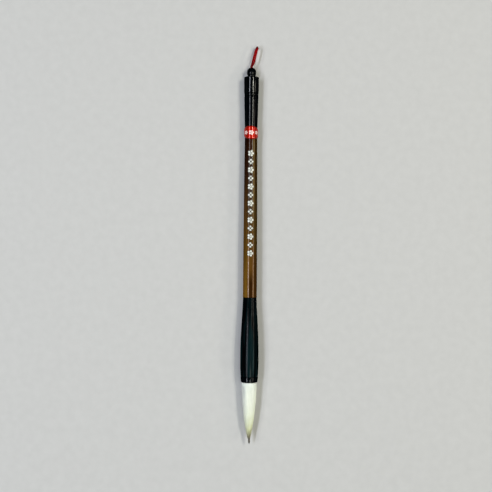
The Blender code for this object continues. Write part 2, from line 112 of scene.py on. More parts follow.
def add_node(tree, kind, inputs=None, stops=(), **settings):
    """Add a node. An input is typed in, or fed by a socket or by a node's first output."""
    node = tree.nodes.new(kind)
    for name, value in settings.items():
        setattr(node, name, value)
    for k, (place, colour) in enumerate(stops):
        marks = node.color_ramp.elements
        mark = marks[k] if k < len(marks) else marks.new(place)
        mark.position = place
        mark.color = paint(colour)
    for socket, value in (inputs or {}).items():
        if isinstance(value, bpy.types.Node):
            value = value.outputs[0]
        if isinstance(value, bpy.types.NodeSocket):
            tree.links.new(value, node.inputs[socket])
        else:
            node.inputs[socket].default_value = value
    return node


print("white is", paint("#FFFFFF")[:3], "and the grey #808080 is", round(paint("#808080")[0], 3))

# %% [markdown]
# A finish is one shader and what feeds it. Its patterns are measured in millimetres from the
# brush's axis, so that they lie still on a piece and keep their real size. Silver paint, ink,
# thread and rosin differ only in their colours and in how fine their mottling is, so one function
# makes them all.

# %% Finish tools
def new_finish(name, **typed):
    """A material with one shader. Returns it, its tree and its shader."""
    finish = bpy.data.materials.new(name)
    finish.use_nodes = True
    tree = finish.node_tree
    tree.nodes.clear()
    shader = add_node(tree, "ShaderNodeBsdfPrincipled")
    for label, value in typed.items():
        shader.inputs[label.replace("_", " ")].default_value = value
    add_node(tree, "ShaderNodeOutputMaterial", {"Surface": shader})
    return finish, tree, shader


def feed(shader, **fed):
    """Link each node's first output to the shader's socket of that name."""
    for label, node in fed.items():
        shader.id_data.links.new(node.outputs[0], shader.inputs[label.replace("_", " ")])


def in_mm(tree, stretch=(1, 1, 1)):
    """The piece's own coordinates in mm from the brush's axis, stretched along each direction."""
    place = add_node(tree, "ShaderNodeTexCoord").outputs["Object"]
    scale = [s / MM for s in stretch]
    return add_node(
        tree, "ShaderNodeMapping",
        {"Vector": place, "Scale": scale, "Location": (0, 0, -AXIS * stretch[2])},
    )


def mottled(name, per_mm, detail, stops, **typed):
    """A finish whose colour wanders. per_mm is how many spots there are in a mm, each way."""
    finish, tree, shader = new_finish(name, **typed)
    spots = add_node(
        tree, "ShaderNodeTexNoise", {"Vector": in_mm(tree, per_mm), "Scale": 1.0, "Detail": detail},
    )
    tone = add_node(tree, "ShaderNodeValToRGB", {"Fac": spots.outputs["Fac"]}, stops=stops)
    feed(shader, Base_Color=tone)
    return finish


print("patterns are measured from an axis", round(AXIS, 2), "mm above the surface")

# %% [markdown]
# ## Rules and pieces
#
# A rule is a Geometry Nodes tree. Its sizes are named inputs, so that one rule can make several
# pieces. Inputs that are lengths are marked as distances and typed in millimetres. When a rule has
# run, its result is kept as a plain mesh and the rule is thrown away, because a model that is
# passed on has to hold its shape without it. Three of the rules end by bending something round the
# brush's axis, so that step has a function of its own.

# %% Rule tools
scene = bpy.context.scene


def new_rule(name, lengths, numbers="", counts=""):
    """An empty rule with named inputs. Returns its tree, its inputs and a function that closes it."""
    tree = bpy.data.node_groups.new(name, "GeometryNodeTree")
    tree.interface.new_socket("Geometry", in_out="OUTPUT", socket_type="NodeSocketGeometry")
    kinds = (("Geometry", "Geometry"), ("Float", lengths), ("Float", numbers), ("Int", counts),
             ("Material", "Finish"))
    for kind, labels in kinds:
        for label in labels.split():
            socket = tree.interface.new_socket(label, in_out="INPUT", socket_type="NodeSocket" + kind)
            if labels is lengths:
                socket.subtype = "DISTANCE"
    given = add_node(tree, "NodeGroupInput").outputs

    def close(shape):
        real = add_node(tree, "GeometryNodeRealizeInstances", {"Geometry": shape})
        dressed = add_node(tree, "GeometryNodeSetMaterial", {"Geometry": real, "Material": given["Finish"]})
        add_node(tree, "NodeGroupOutput", {"Geometry": dressed})
        print("the rule", name, "has", len(tree.nodes), "nodes")

    return tree, given, close


def round_axis(tree, angle, radius, along, height):
    """The place at an angle round the axis, a radius out from it and a station along it."""
    sine = add_node(tree, "ShaderNodeMath", {0: angle}, operation="SINE")
    cosine = add_node(tree, "ShaderNodeMath", {0: angle}, operation="COSINE")
    across = add_node(tree, "ShaderNodeMath", {0: sine, 1: radius}, operation="MULTIPLY")
    upward = add_node(tree, "ShaderNodeMath", {0: cosine, 1: radius, 2: height}, operation="MULTIPLY_ADD")
    return add_node(tree, "ShaderNodeCombineXYZ", {0: across, 1: along, 2: upward})


def run_rule(name, tree, start=None, **sizes):
    """Run a rule on a start mesh, with lengths in mm, and keep what it makes as a plain mesh."""
    sizes["Height"] = AXIS
    holder = bpy.data.objects.new(name, start or bpy.data.meshes.new(name))
    scene.collection.objects.link(holder)
    rule = holder.modifiers.new("rule", "NODES")
    rule.node_group = tree
    for socket in tree.interface.items_tree:
        if socket.in_out == "INPUT" and socket.name in sizes:
            value = sizes[socket.name]
            is_length = getattr(socket, "subtype", "") == "DISTANCE"
            rule[socket.identifier] = value * MM if is_length else value
    bpy.context.view_layer.update()
    ready = holder.evaluated_get(bpy.context.evaluated_depsgraph_get())
    made = bpy.data.meshes.new_from_object(ready)
    bpy.data.objects.remove(holder)
    return made


print("rules run in a scene called", scene.name)

# %% [markdown]
# A piece is a mesh that is shown in place of one or more nodes of the model, and it rides on the
# body that those nodes belong to.

# %% Piece tools
def new_piece(name, mesh, finish, slot, body, *nodes):
    """Show a mesh as a piece of the brush, in place of the CAD nodes named."""
    mesh.name = name
    piece = bpy.data.objects.new(name, mesh)
    scene.collection.objects.link(piece)
    mesh.materials.clear()
    mesh.materials.append(finish)
    if body:
        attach(piece, body)
    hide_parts(*nodes)
    print(name, "has", sum(len(face.vertices) - 2 for face in mesh.polygons), "triangles")
    return piece


def grow_piece(name, tree, finish, slot, body, *nodes, start=None, **sizes):
    """Run a rule and show what it makes."""
    mesh = run_rule(name, tree, start, Finish=finish, **sizes)
    return new_piece(name, mesh, finish, slot, body, *nodes)


def path_mesh(points, closed=False):
    """A bare line of points in metres, for a rule to follow."""
    line = bpy.data.meshes.new("path")
    edges = [(k, k + 1) for k in range(len(points) - 1)]
    if closed:
        edges.append((len(points) - 1, 0))
    line.from_pydata([tuple(p) for p in points], edges, [])
    return line


print("pieces to show:", len(frame["nodes"]), "nodes of the model")

# %% [markdown]
# ## The camera
#
# The brush lies flat and is seen from straight above, from about half a metre, with its tail a
# hair's breadth to the right. The camera stands over a point near the middle of the barrel.

# %% Place the camera
CAMERA_UP = 551
lens = bpy.data.cameras.new("camera")
lens.lens = 60
lens.sensor_width = 36
camera = bpy.data.objects.new("camera", lens)
camera.location = (-2.8 * MM, 6.58 * MM, CAMERA_UP * MM)
camera.rotation_euler = (0, 0, math.radians(0.45))
scene.collection.objects.link(camera)
scene.camera = camera
seen = lens.sensor_width / lens.lens * (CAMERA_UP - AXIS)
print("the camera sees", round(seen), "mm across at the brush")

# %% [markdown]
# ## The hanging cord
#
# The real cord is dyed rayon, three strands twisted together, 1.2 mm thick. Its two ends are
# knotted inside the head, go up through the ball together, and the rest is the loop, which leaves
# the ball in a small bow to the right, leans over and droops a little. The way it takes is one
# smooth line through a few points: how far out of the ball, and half of how far the two sides
# stand apart there. The loop stands on edge, and more so towards its end, so from above its two
# sides nearly hide each other.
#
# A plain tube would do for the length and the bends. The twist is what shows that it is cord, so
# the tube's outline has three lobes and turns as it goes along.

# %% Lay out the way of the cord
CORD, KNOT = 1.2, 3.2
TURN = frame["joints"][0]["pos_m"][1] / MM
LOOP_SHAPE = (
    (0, 0.62), (2, 1.3), (4.5, 1.75), (7.2, 2.15), (9.8, 2.26), (11.6, 2.2), (12.95, 1.62), (13.75, 0),
)
LOOP_END = LOOP_SHAPE[-1][0]
TILT, MORE_TILT, BOW = 58, 16, 0.35
lean, droop = math.radians(13.6), math.radians(6.5)
out = Vector((math.sin(lean) * math.cos(droop), math.cos(lean) * math.cos(droop), -math.sin(droop)))
side = Vector((math.cos(lean), -math.sin(lean), 0))
above = side.cross(out).normalized()
pivot = Vector((0, TURN, AXIS))


def ease(share):
    """Rise smoothly from 0 to 1 and stay there."""
    return math.sin(math.pi / 2 * min(max(share, 0), 1))


def loop_point(reach, half):
    """A point of the loop: so far out of the ball, and half an opening from its middle line."""
    tilt = math.radians(TILT + MORE_TILT * ease(reach / 10))
    middle = pivot + out * reach + side * BOW * ease(reach / 2)
    return middle + (side * math.cos(tilt) + above * math.sin(tilt)) * half


print("the loop reaches", LOOP_END, "mm out, to a height of", round((pivot + out * LOOP_END).z, 1), "mm")

# %% Join the points smoothly
def smooth_way(points, steps):
    """Points along a smooth curve through the given ones."""
    ends = [points[0] * 2 - points[1], *points, points[-1] * 2 - points[-2]]
    way = []
    for a, b, c, d in zip(ends, ends[1:], ends[2:], ends[3:]):
        for k in range(steps):
            t = k / steps
            bend = (2 * a - 5 * b + 4 * c - d) * t ** 2 + (3 * b - a - 3 * c + d) * t ** 3
            way.append((2 * b + (c - a) * t + bend) / 2)
    return [*way, points[-1]]


KNOT_TOP = span("loop_knot")[0] + KNOT
stem = [Vector((0, y, AXIS)) for y in (KNOT_TOP - 0.4, (KNOT_TOP + TURN) / 2, TURN - 2.4)]
beside = loop_point(*LOOP_SHAPE[0]) - pivot
one_way = [point + beside for point in stem]
one_way += [loop_point(reach, half) for reach, half in LOOP_SHAPE]
back_again = [loop_point(reach, -half) for reach, half in reversed(LOOP_SHAPE[:-1])]
back_again += [point - beside for point in reversed(stem)]
cord_way = [point * MM for point in smooth_way(one_way + back_again, 4)]

# %% [markdown]
# ### The twist
#
# The rule turns the bare line into a curve, cuts it into equal short steps, turns each step a
# little further than the last, and sweeps a three-lobed outline along it. A cord like this makes a
# full turn in about three of its own thicknesses. One number is kept on every point for the
# finish: how deep it lies between the strands.

# %% Rule: twisted cord
twist, given, close = new_rule("twisted_cord", "Thickness Lay Step", "Depth")
line = add_node(twist, "GeometryNodeMeshToCurve", {"Mesh": given["Geometry"]})
line = add_node(twist, "GeometryNodeResampleCurve", {"Curve": line, "Length": given["Step"]}, mode="LENGTH")
way = add_node(twist, "GeometryNodeSplineParameter")
turns = add_node(twist, "ShaderNodeMath", {0: way.outputs["Length"], 1: given["Lay"]}, operation="DIVIDE")
angle = add_node(twist, "ShaderNodeMath", {0: turns, 1: math.tau}, operation="MULTIPLY")
line = add_node(twist, "GeometryNodeSetCurveTilt", {"Curve": line, "Tilt": angle})
print("the line's part of the twist has", len(twist.nodes), "nodes")

# %% Rule: twisted cord, its outline
radius = add_node(twist, "ShaderNodeMath", {0: given["Thickness"], 1: 0.5}, operation="MULTIPLY")
outline = add_node(twist, "GeometryNodeCurvePrimitiveCircle", {"Resolution": 24, "Radius": radius})
# The outline has 24 points and three lobes, so a lobe is 8 points long.
corner = add_node(twist, "GeometryNodeInputIndex")
lobe = add_node(twist, "ShaderNodeMath", {0: corner, 1: math.tau / 8}, operation="MULTIPLY")
lobe = add_node(twist, "ShaderNodeMath", {0: lobe}, operation="COSINE")
sunk = add_node(twist, "ShaderNodeMath", {0: 0.5, 1: lobe, 2: 0.5}, operation="MULTIPLY_ADD")
shrink = add_node(twist, "ShaderNodeMath", {0: sunk, 1: given["Depth"]}, operation="MULTIPLY")
keep = add_node(twist, "ShaderNodeMath", {0: 1.0, 1: shrink}, operation="SUBTRACT")
spot = add_node(twist, "GeometryNodeInputPosition")
flat = add_node(twist, "ShaderNodeVectorMath", {0: spot, "Scale": keep}, operation="SCALE")
outline = add_node(
    twist, "GeometryNodeStoreNamedAttribute",
    {"Geometry": outline, "Name": "sunk", "Value": sunk}, data_type="FLOAT", domain="POINT",
)
outline = add_node(twist, "GeometryNodeSetPosition", {"Geometry": outline, "Position": flat})
tube = add_node(
    twist, "GeometryNodeCurveToMesh", {"Curve": line, "Profile Curve": outline, "Fill Caps": True},
)
tube = add_node(twist, "GeometryNodeSetShadeSmooth", {"Geometry": tube})
close(tube)

# %% [markdown]
# ### Dyed rayon
#
# Rayon is a smooth yarn, but twisted this tightly and handled it has hardly any shine. The dye is
# a deep crimson. Painted shade darkens it where each strand presses on the next, so each strand is
# lightest along its crown, and more painted shade darkens the cord where it leaves the ball and
# towards its far bend. Its filaments are far finer than the eye can see from here, so they are
# drawn ten times too coarse, as a faint streak.

# %% Finish: crimson rayon cord
rayon, tree, shader = new_finish("crimson_rayon_cord", Roughness=0.55, Specular_IOR_Level=0.06)
sunk = add_node(tree, "ShaderNodeAttribute", attribute_name="sunk").outputs["Fac"]
# The ramp on sunk darkens the crimson between the strands: painted shade.
dye_and_groove_shade = add_node(
    tree, "ShaderNodeValToRGB", {"Fac": sunk},
    stops=((0.0, "#A80208"), (0.45, "#980206"), (0.8, "#7E0104"), (1.0, "#560002")),
)
beyond = add_node(tree, "ShaderNodeSeparateXYZ", {0: in_mm(tree)}).outputs["Y"]
# Painted shade: the cord is darker where it leaves the ball and towards its far bend.
shade_at_ball = add_node(
    tree, "ShaderNodeMapRange",
    {"Value": beyond, "From Min": TURN + 0.5, "From Max": TURN + 4.5, "To Min": 0.42, "To Max": 1.0},
)
shade_at_bend = add_node(
    tree, "ShaderNodeMapRange",
    {"Value": beyond, "From Min": TURN + LOOP_END - 2.45, "From Max": TURN + LOOP_END - 0.55,
     "To Min": 1.0, "To Max": 0.22},
)
painted_end_shade = add_node(tree, "ShaderNodeMath", {0: shade_at_ball, 1: shade_at_bend}, operation="MULTIPLY")
dye_and_groove_shade = add_node(tree, "ShaderNodeVectorMath", {0: dye_and_groove_shade, "Scale": painted_end_shade}, operation="SCALE")
filament = add_node(
    tree, "ShaderNodeTexNoise", {"Vector": in_mm(tree, (9, 2.5, 9)), "Scale": 1.0, "Detail": 3.0},
)
worn = add_node(
    tree, "ShaderNodeMapRange", {"Value": filament.outputs["Fac"], "To Min": 0.72, "To Max": 1.25},
)
tone = add_node(tree, "ShaderNodeVectorMath", {0: dye_and_groove_shade, "Scale": worn}, operation="SCALE")
fuzz = add_node(
    tree, "ShaderNodeBump", {"Height": filament.outputs["Fac"], "Strength": 0.35, "Distance": 0.05 * MM},
)
feed(shader, Base_Color=tone, Normal=fuzz)
print(rayon.name, "has", len(tree.nodes), "nodes")

# %% [markdown]
# ### The loop and its knot
#
# The loop swings on the ball and twists with the knot. Here the cord is one piece in its rest
# place, and it rides on neither body. The knot itself is the simplest there is, an overhand knot,
# and its line is the trefoil, which has a formula.

# %% Make the cord
LAY = 3.4
cord = grow_piece(
    "hanging_cord", twist, rayon, "cord", None, "hanging_loop", start=path_mesh(cord_way),
    Thickness=CORD, Lay=LAY, Depth=0.1, Step=0.16,
)
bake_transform(cord)

# %% Tie the knot
KNOT_STEPS, TREFOIL = 90, 0.44
knot_way = []
for k in range(KNOT_STEPS):
    t = math.tau * k / KNOT_STEPS
    across = Vector((math.sin(t) + 2 * math.sin(2 * t), 0, math.cos(t) - 2 * math.cos(2 * t))) * TREFOIL
    knot_way.append((Vector((0, KNOT_TOP - KNOT / 2 - math.sin(3 * t), AXIS)) + across) * MM)
knot = grow_piece(
    "cord_knot", twist, rayon, "cord", "knot", "loop_knot", start=path_mesh(knot_way, closed=True),
    Thickness=1.0, Lay=LAY, Depth=0.26, Step=0.2,
)

# %% [markdown]
# ## The turned pieces
#
# Ball, head, ring, sleeve, bell and lip all come off a lathe. Each is one outline, drawn from the
# axis outwards and turned round it, so one function makes them all. The model's solids have few
# sides, so they are a touch slimmer at their flats than at their corners. Here 144 sides are used,
# and the roundness is set so that the brush still rests where the model rests.

# %% The lathe
SIDES = 144


def arc(centre, height, size, start, end, steps=8):
    """Points of a rounded edge: its centre, its size, and the angles that it runs between."""
    angles = [math.radians(start + (end - start) * k / steps) for k in range(steps + 1)]
    return [(centre + size * math.cos(a), height + size * math.sin(a)) for a in angles]


def turn(outline, station, sides=SIDES, skin=None, closed=True):
    """Turn (radius, height) points in mm round the axis into a skin, closed where it can be."""
    skin = skin or bmesh.new()
    rings = []
    for radius, height in outline:
        count = sides if radius > 0.001 else 1
        ring = []
        for k in range(count):
            a = math.tau * k / sides
            x, z = math.sin(a) * radius * ROUND, math.cos(a) * radius * ROUND + AXIS
            ring.append(skin.verts.new(Vector((x, station + height, z)) * MM))
        rings.append(ring)
    pairs = list(zip(rings, rings[1:]))
    if closed and len(rings[0]) > 1 and len(rings[-1]) > 1:
        pairs.append((rings[-1], rings[0]))
    for upper, lower in pairs:
        for k in range(sides):
            corners = [upper[k % len(upper)], lower[k % len(lower)]]
            corners += [lower[(k + 1) % len(lower)], upper[(k + 1) % len(upper)]]
            corners = list(dict.fromkeys(corners))
            if len(corners) > 2:
                skin.faces.new(corners)
    return skin


print("turned pieces have", SIDES, "sides, at", round(ROUND, 4), "of the model's corner radius")

# %% Keep what was turned
CREASE = 32


def keep_skin(name, skin, crease=CREASE):
    """Close a skin's seams, point its faces outwards and keep it as a mesh."""
    bmesh.ops.remove_doubles(skin, verts=skin.verts, dist=0.0005 * MM)
    bmesh.ops.recalc_face_normals(skin, faces=skin.faces)
    mesh = bpy.data.meshes.new(name)
    skin.to_mesh(mesh)
    skin.free()
    mesh.shade_smooth()
    mesh.set_sharp_from_angle(angle=math.radians(crease))
    return mesh


def turned_piece(name, outline, station, finish, node):
    """Turn an outline and show it in place of its node."""
    new_piece(name, keep_skin(name, turn(outline, station)), finish, "black", "brush", node)


print("edges sharper than", CREASE, "degrees stay sharp")

# %% [markdown]
# ### Black horn
#
# The black pieces are buffalo horn: black, with faint streaks of green-black along it, and it takes
# a polish like lacquer. Where the horn stands more than about 5 mm over the axis, on the bell and
# the lip, its crown is painted lighter, towards green-black and a little to the right: a painted
# sheen. Streaks in horn are about a millimetre wide and run on for some centimetres, so the noise
# is stretched that much along the brush. The lathe leaves rings about a quarter of a millimetre
# apart, which only soften the shine.
#
# The polish is a clear coat over a body without gloss. A perfect coat would mirror the pale table
# at its sides. Real horn has fine scratches that break this up, so the coat is faded out where the
# surface is seen edge-on, which Layer Weight tells, and it is patchy where hands have rubbed it.
# The head is polished bright. Ball, ring, sleeve and lip are rubbed a little softer. The bell is
# satin, because fingers hold it: they have dulled the left of its top and buffed the right.

# %% Wear: a rubbed coat
FACING, SCRATCHED = 0.14, 0.42


def worn_gloss(tree, shine, patches):
    """How much clear coat a spot has: scratched dull when seen edge-on, and rubbed in patches.

    patches is how many of them there are in a mm, each way.
    """
    edge_on = add_node(tree, "ShaderNodeLayerWeight", {"Blend": 0.5}).outputs["Facing"]
    fade = add_node(
        tree, "ShaderNodeMapRange",
        {"Value": edge_on, "From Min": FACING, "From Max": SCRATCHED, "To Min": shine, "To Max": 0.0},
        interpolation_type="SMOOTHSTEP",
    )
    rubbed = add_node(
        tree, "ShaderNodeTexNoise", {"Vector": in_mm(tree, patches), "Scale": 1.0, "Detail": 2.0},
    )
    rubbed = add_node(
        tree, "ShaderNodeMapRange",
        {"Value": rubbed.outputs["Fac"], "From Min": 0.3, "From Max": 0.7, "To Min": 0.82, "To Max": 1.15},
    )
    return add_node(tree, "ShaderNodeMath", {0: fade, 1: rubbed}, operation="MULTIPLY")


print("the coat fades from", FACING, "to", SCRATCHED, "of the way to edge-on")

# %% Wear: the grip
GRIP = 21.6


def grip_wear(tree, polish):
    """Polish that fingers have dulled on the left of the bell's top and buffed on the right."""
    spot = add_node(tree, "ShaderNodeSeparateXYZ", {0: in_mm(tree)})
    dulled = add_node(
        tree, "ShaderNodeMapRange",
        {"Value": spot.outputs["Y"], "From Min": FERRULE_TOP - GRIP, "From Max": FERRULE_TOP - GRIP / 6,
         "To Min": 1.0, "To Max": 0.12},
        interpolation_type="SMOOTHSTEP",
    )
    buffed = add_node(
        tree, "ShaderNodeMapRange",
        {"Value": spot.outputs["Y"], "From Min": FERRULE_TOP - GRIP, "From Max": FERRULE_TOP,
         "To Min": 1.0, "To Max": 1.9},
    )
    sideways = add_node(
        tree, "ShaderNodeMapRange", {"Value": spot.outputs["X"], "From Min": 0.6, "From Max": 1.4},
    )
    wear = add_node(tree, "ShaderNodeMix", {"Factor": sideways, "A": dulled, "B": buffed})
    return add_node(tree, "ShaderNodeMath", {0: polish, 1: wear}, operation="MULTIPLY")


print("fingers wear the top", GRIP, "mm of the bell")

# %% Finish: black horn
def black_horn(name, dull, shine, deep, light, gripped=False):
    """Horn with its streaks, a painted sheen on its crown, its lathe rings and its polish. dull 0 is a
    mirror, 1 is chalk.
    """
    horn, tree, shader = new_finish(
        name, Roughness=0.6, Specular_IOR_Level=0.0, Coat_Roughness=dull, Coat_IOR=1.54,
    )
    streak = add_node(
        tree, "ShaderNodeTexNoise",
        {"Vector": in_mm(tree, (0.8, 0.035, 0.8)), "Scale": 1.0, "Detail": 4.0, "Roughness": 0.55},
    )
    # How high a spot stands over the axis, in mm, leaning a little to the right.
    towards = add_node(
        tree, "ShaderNodeVectorMath", {0: in_mm(tree), 1: (0.12, 0.0, 1.0)}, operation="DOT_PRODUCT",
    )
    # A lighter crown where the horn is widest, on the bell and the lip: painted sheen.
    painted_crown_sheen = add_node(
        tree, "ShaderNodeMapRange",
        {"Value": towards.outputs["Value"], "From Min": 5.15, "From Max": 6.1, "To Max": 0.3},
    )
    both = add_node(tree, "ShaderNodeMath", {0: streak.outputs["Fac"], 1: painted_crown_sheen}, operation="ADD")
    tone = add_node(tree, "ShaderNodeValToRGB", {"Fac": both}, stops=((0.45, deep), (0.85, light)))
    polish = worn_gloss(tree, shine, (0.9, 0.25, 0.9))
    if gripped:
        polish = grip_wear(tree, polish)
    rings = add_node(
        tree, "ShaderNodeTexNoise", {"Vector": in_mm(tree, (0.3, 4.0, 0.3)), "Scale": 1.0, "Detail": 2.0},
    )
    turned = add_node(
        tree, "ShaderNodeBump",
        {"Height": rings.outputs["Fac"], "Strength": 0.25, "Distance": 0.004 * MM},
    )
    feed(shader, Base_Color=tone, Coat_Weight=polish, Normal=turned, Coat_Normal=turned)
    print(name, "has", len(tree.nodes), "nodes")
    return horn


bright_horn = black_horn("polished_black_horn", 0.12, 0.62, "#010204", "#03080A")
rubbed_horn = black_horn("rubbed_black_horn", 0.15, 0.36, "#010204", "#040A0D")
satin_horn = black_horn("satin_black_horn", 0.22, 0.19, "#010203", "#072023", gripped=True)

# %% [markdown]
# ### Ball, head, ring and sleeve
#
# The ball is a little taller than a true sphere above its middle, and its mouth is rounded so that
# the cord doesn't fray. It sits low on a thick neck with a hollow curve at its foot, which a
# turner makes with the nose of the gouge. The head is a plain cylinder with a softened shoulder,
# the ring has two round edges, and the sleeve tapers down to the thickness of the bamboo.

# %% Turn the ball
# BORE, BALL, NECK and what ends in _R are radii. SOFT, CRISP, FINE and MOUTH_EDGE are the sizes
# of rounded edges. RISE is how high the ball's middle stands, and CROWN how much higher its top
# would be without the bore.
SOFT, CRISP, FINE = 0.45, 0.25, 0.15
BORE, BALL, NECK, RISE, CROWN, MOUTH_EDGE, FILLET = 1.52, 3.1, 2.6, 2.86, 3.9, 0.32, 0.4
PLUG_R, PLUG = BORE + 0.47, 3.0
mouth_at = math.asin((BORE + MOUTH_EDGE) / BALL)
neck_at = math.asin(NECK / BALL)
ball = arc(BORE + MOUTH_EDGE, KNOB_TOP - SHOULDER - MOUTH_EDGE, MOUTH_EDGE, 180, 90)[:-1]
for k in range(19):
    a = mouth_at + (math.pi / 2 - mouth_at) * k / 18
    ball.append((BALL * math.sin(a), RISE + CROWN * math.cos(a)))
for k in range(1, 13):
    a = math.pi / 2 - (math.pi / 2 - neck_at) * k / 12
    ball.append((BALL * math.sin(a), RISE - BALL * math.cos(a)))
ball += arc(NECK + FILLET, 0.05 + FILLET, FILLET, 180, 270)
ball += [(PLUG_R, 0.05), (PLUG_R, -PLUG), (BORE, -PLUG)]
turned_piece("tail_ball", ball, SHOULDER, rubbed_horn, "tail_knob")

# %% Turn the head
HEAD_R, HEAD_FOOT_R, SPIGOT_R, SPIGOT, HOLLOW_R, HOLLOW_FOOT = 4.92, 4.85, 3.2, 7.9, 2.29, 2.0
top = SHOULDER - HEAD_FOOT
head = [(0, HOLLOW_FOOT), (HOLLOW_R, HOLLOW_FOOT), (HOLLOW_R, top)]
head += arc(HEAD_R - SOFT, top - SOFT, SOFT, 90, 0)
head += arc(HEAD_FOOT_R - FINE, 2 * FINE, FINE, 0, -90, 4)
head += [(SPIGOT_R, FINE), (SPIGOT_R, -SPIGOT), (0, -SPIGOT)]
turned_piece("tail_head_turned", head, HEAD_FOOT, bright_horn, "tail_head")

# %% Turn the ring and the sleeve
RING_R, SLEEVE_R, SLEEVE_BORE, CULM_TAIL = 4.68, 4.72, 3.5, 4.15
length = HEAD_FOOT - SLEEVE_TOP
ring = [(SLEEVE_BORE, length), *arc(RING_R - SOFT, length - SOFT, SOFT, 90, 0)]
ring += [*arc(RING_R - SOFT, FINE + SOFT, SOFT, 0, -90), (SLEEVE_BORE, FINE)]
turned_piece("tail_ring", ring, SLEEVE_TOP, rubbed_horn, "spacer_ring")

length = SLEEVE_TOP - JOINT
sleeve = [(SLEEVE_BORE, length), *arc(SLEEVE_R - CRISP, length - CRISP, CRISP, 90, 0)]
sleeve += [(CULM_TAIL, 0.02), (SLEEVE_BORE, 0.02)]
turned_piece("black_sleeve", sleeve, JOINT, rubbed_horn, "tail_sleeve")

# %% [markdown]
# ### The bell
#
# The bell's outside follows a rule: it leaves the barrel level with it, swells slowly and ends in a
# band, like a quarter of a sine wave raised to a power. That makes it a good piece to grow with
# nodes, because the rule can be read off them. A flat grid is bent round the axis: one side of the
# grid is the angle, the other is the depth below the top, and the rule gives the radius.

# %% Rule: bell
bell, given, close = new_rule("bell", "Length Top Belly Station Height", "Power", "Sides")
columns = add_node(bell, "ShaderNodeMath", {0: given["Sides"], 1: 1.0}, operation="ADD")
sheet = add_node(
    bell, "GeometryNodeMeshGrid", {"Size X": 1.0, "Size Y": 1.0, "Vertices X": columns, "Vertices Y": 48},
)
flat = add_node(bell, "ShaderNodeSeparateXYZ", {0: add_node(bell, "GeometryNodeInputPosition")})
turn_share = add_node(bell, "ShaderNodeMath", {0: flat.outputs["X"], 1: 0.5}, operation="ADD")
angle = add_node(bell, "ShaderNodeMath", {0: turn_share, 1: math.tau}, operation="MULTIPLY")
depth = add_node(bell, "ShaderNodeMath", {0: 0.5, 1: flat.outputs["Y"]}, operation="SUBTRACT")
quarter = add_node(bell, "ShaderNodeMath", {0: depth, 1: math.pi / 2}, operation="MULTIPLY")
flare = add_node(bell, "ShaderNodeMath", {0: quarter}, operation="SINE")
flare = add_node(bell, "ShaderNodeMath", {0: flare, 1: given["Power"]}, operation="POWER")
swell = add_node(bell, "ShaderNodeMath", {0: given["Belly"], 1: given["Top"]}, operation="SUBTRACT")
radius = add_node(bell, "ShaderNodeMath", {0: flare, 1: swell, 2: given["Top"]}, operation="MULTIPLY_ADD")
down = add_node(bell, "ShaderNodeMath", {0: depth, 1: given["Length"]}, operation="MULTIPLY")
along = add_node(bell, "ShaderNodeMath", {0: given["Station"], 1: down}, operation="SUBTRACT")
place = round_axis(bell, angle, radius, along, given["Height"])
sheet = add_node(bell, "GeometryNodeSetPosition", {"Geometry": sheet, "Position": place})
sheet = add_node(bell, "GeometryNodeMergeByDistance", {"Geometry": sheet, "Distance": 0.001 * MM})
close(sheet)

# %% [markdown]
# The rule makes the outside down to the band. The rest of the bell is turned on the lathe as the
# other pieces are: the band, the tuck towards the lip, the hollow for the hair, the vent, the
# socket for the barrel and the rounded top. The two parts share their first and last rings, so
# that merging them leaves one closed skin. The lip is a piece of its own: a short ring that shows
# and a thin bush behind it, which holds the hair.

# %% Grow the bell and turn the rest
# TUCK, HAIR_HOLE and FOOT are heights over the mouth, BAND is the band's own height, and SOCKET
# is a depth from the top.
TOP_R, MOUTH_R, TUCK, BAND, POWER = 4.56, 5.76, 8.8, 6.5, 1.4
HAIR_HOLE_R, HAIR_HOLE, VENT_R, SOCKET_R, SOCKET, FOOT = 5.26, 14.5, 1.6, 3.46, 12.0, 0.55
length = FERRULE_TOP - FERRULE_LOW + GAP
bell_length = length - TUCK - BAND - SOFT
bell_mesh = run_rule(
    "bell", bell, Length=bell_length, Top=TOP_R * ROUND, Belly=BELLY * ROUND, Power=POWER,
    Station=FERRULE_TOP - SOFT, Sides=SIDES, Finish=satin_horn,
)
skin = bmesh.new()
skin.from_mesh(bell_mesh)
rest = [(BELLY, TUCK + BAND), (BELLY, TUCK + BAND / 2)]
for k in range(13):
    share = k / 12
    drawn_in = (BELLY - MOUTH_R) * (1 - math.cos(math.pi / 2 * share))
    rest.append((BELLY - drawn_in, TUCK * (1 - share) + FOOT * share))
rest += arc(MOUTH_R - CRISP, FOOT, CRISP, 0, -90, 4)
rest += [(HAIR_HOLE_R, 0.3), (HAIR_HOLE_R, HAIR_HOLE), (VENT_R, HAIR_HOLE), (VENT_R, length - SOCKET)]
rest += [(SOCKET_R, length - SOCKET), (SOCKET_R, length - 0.2), (SOCKET_R + 0.2, length)]
rest += arc(TOP_R - SOFT, length - SOFT, SOFT, 90, 0)
turn(rest, FERRULE_TOP - length, skin=skin, closed=False)
new_piece("horn_bell", keep_skin("bell", skin), satin_horn, "black", "brush", "ferrule")

# %% Turn the lip
LIP, LIP_R, NOSE_R, NOSE, BUSH, BUSH_R, BUSH_BORE = 3.5, 5.8, 5.55, 0.6, 8, 4.96, 4.46
lip = [(BUSH_BORE, LIP + BUSH), (BUSH_R, LIP + BUSH), (BUSH_R, LIP)]
lip += arc(LIP_R - CRISP, LIP - CRISP, CRISP, 90, 0, 6)
lip += [*arc(NOSE_R - NOSE, NOSE, NOSE, 0, -90), (4.94, 0), (BUSH_BORE, 1.0)]
turned_piece("bell_lip", lip, MOUTH, rubbed_horn, "mouth_ring")

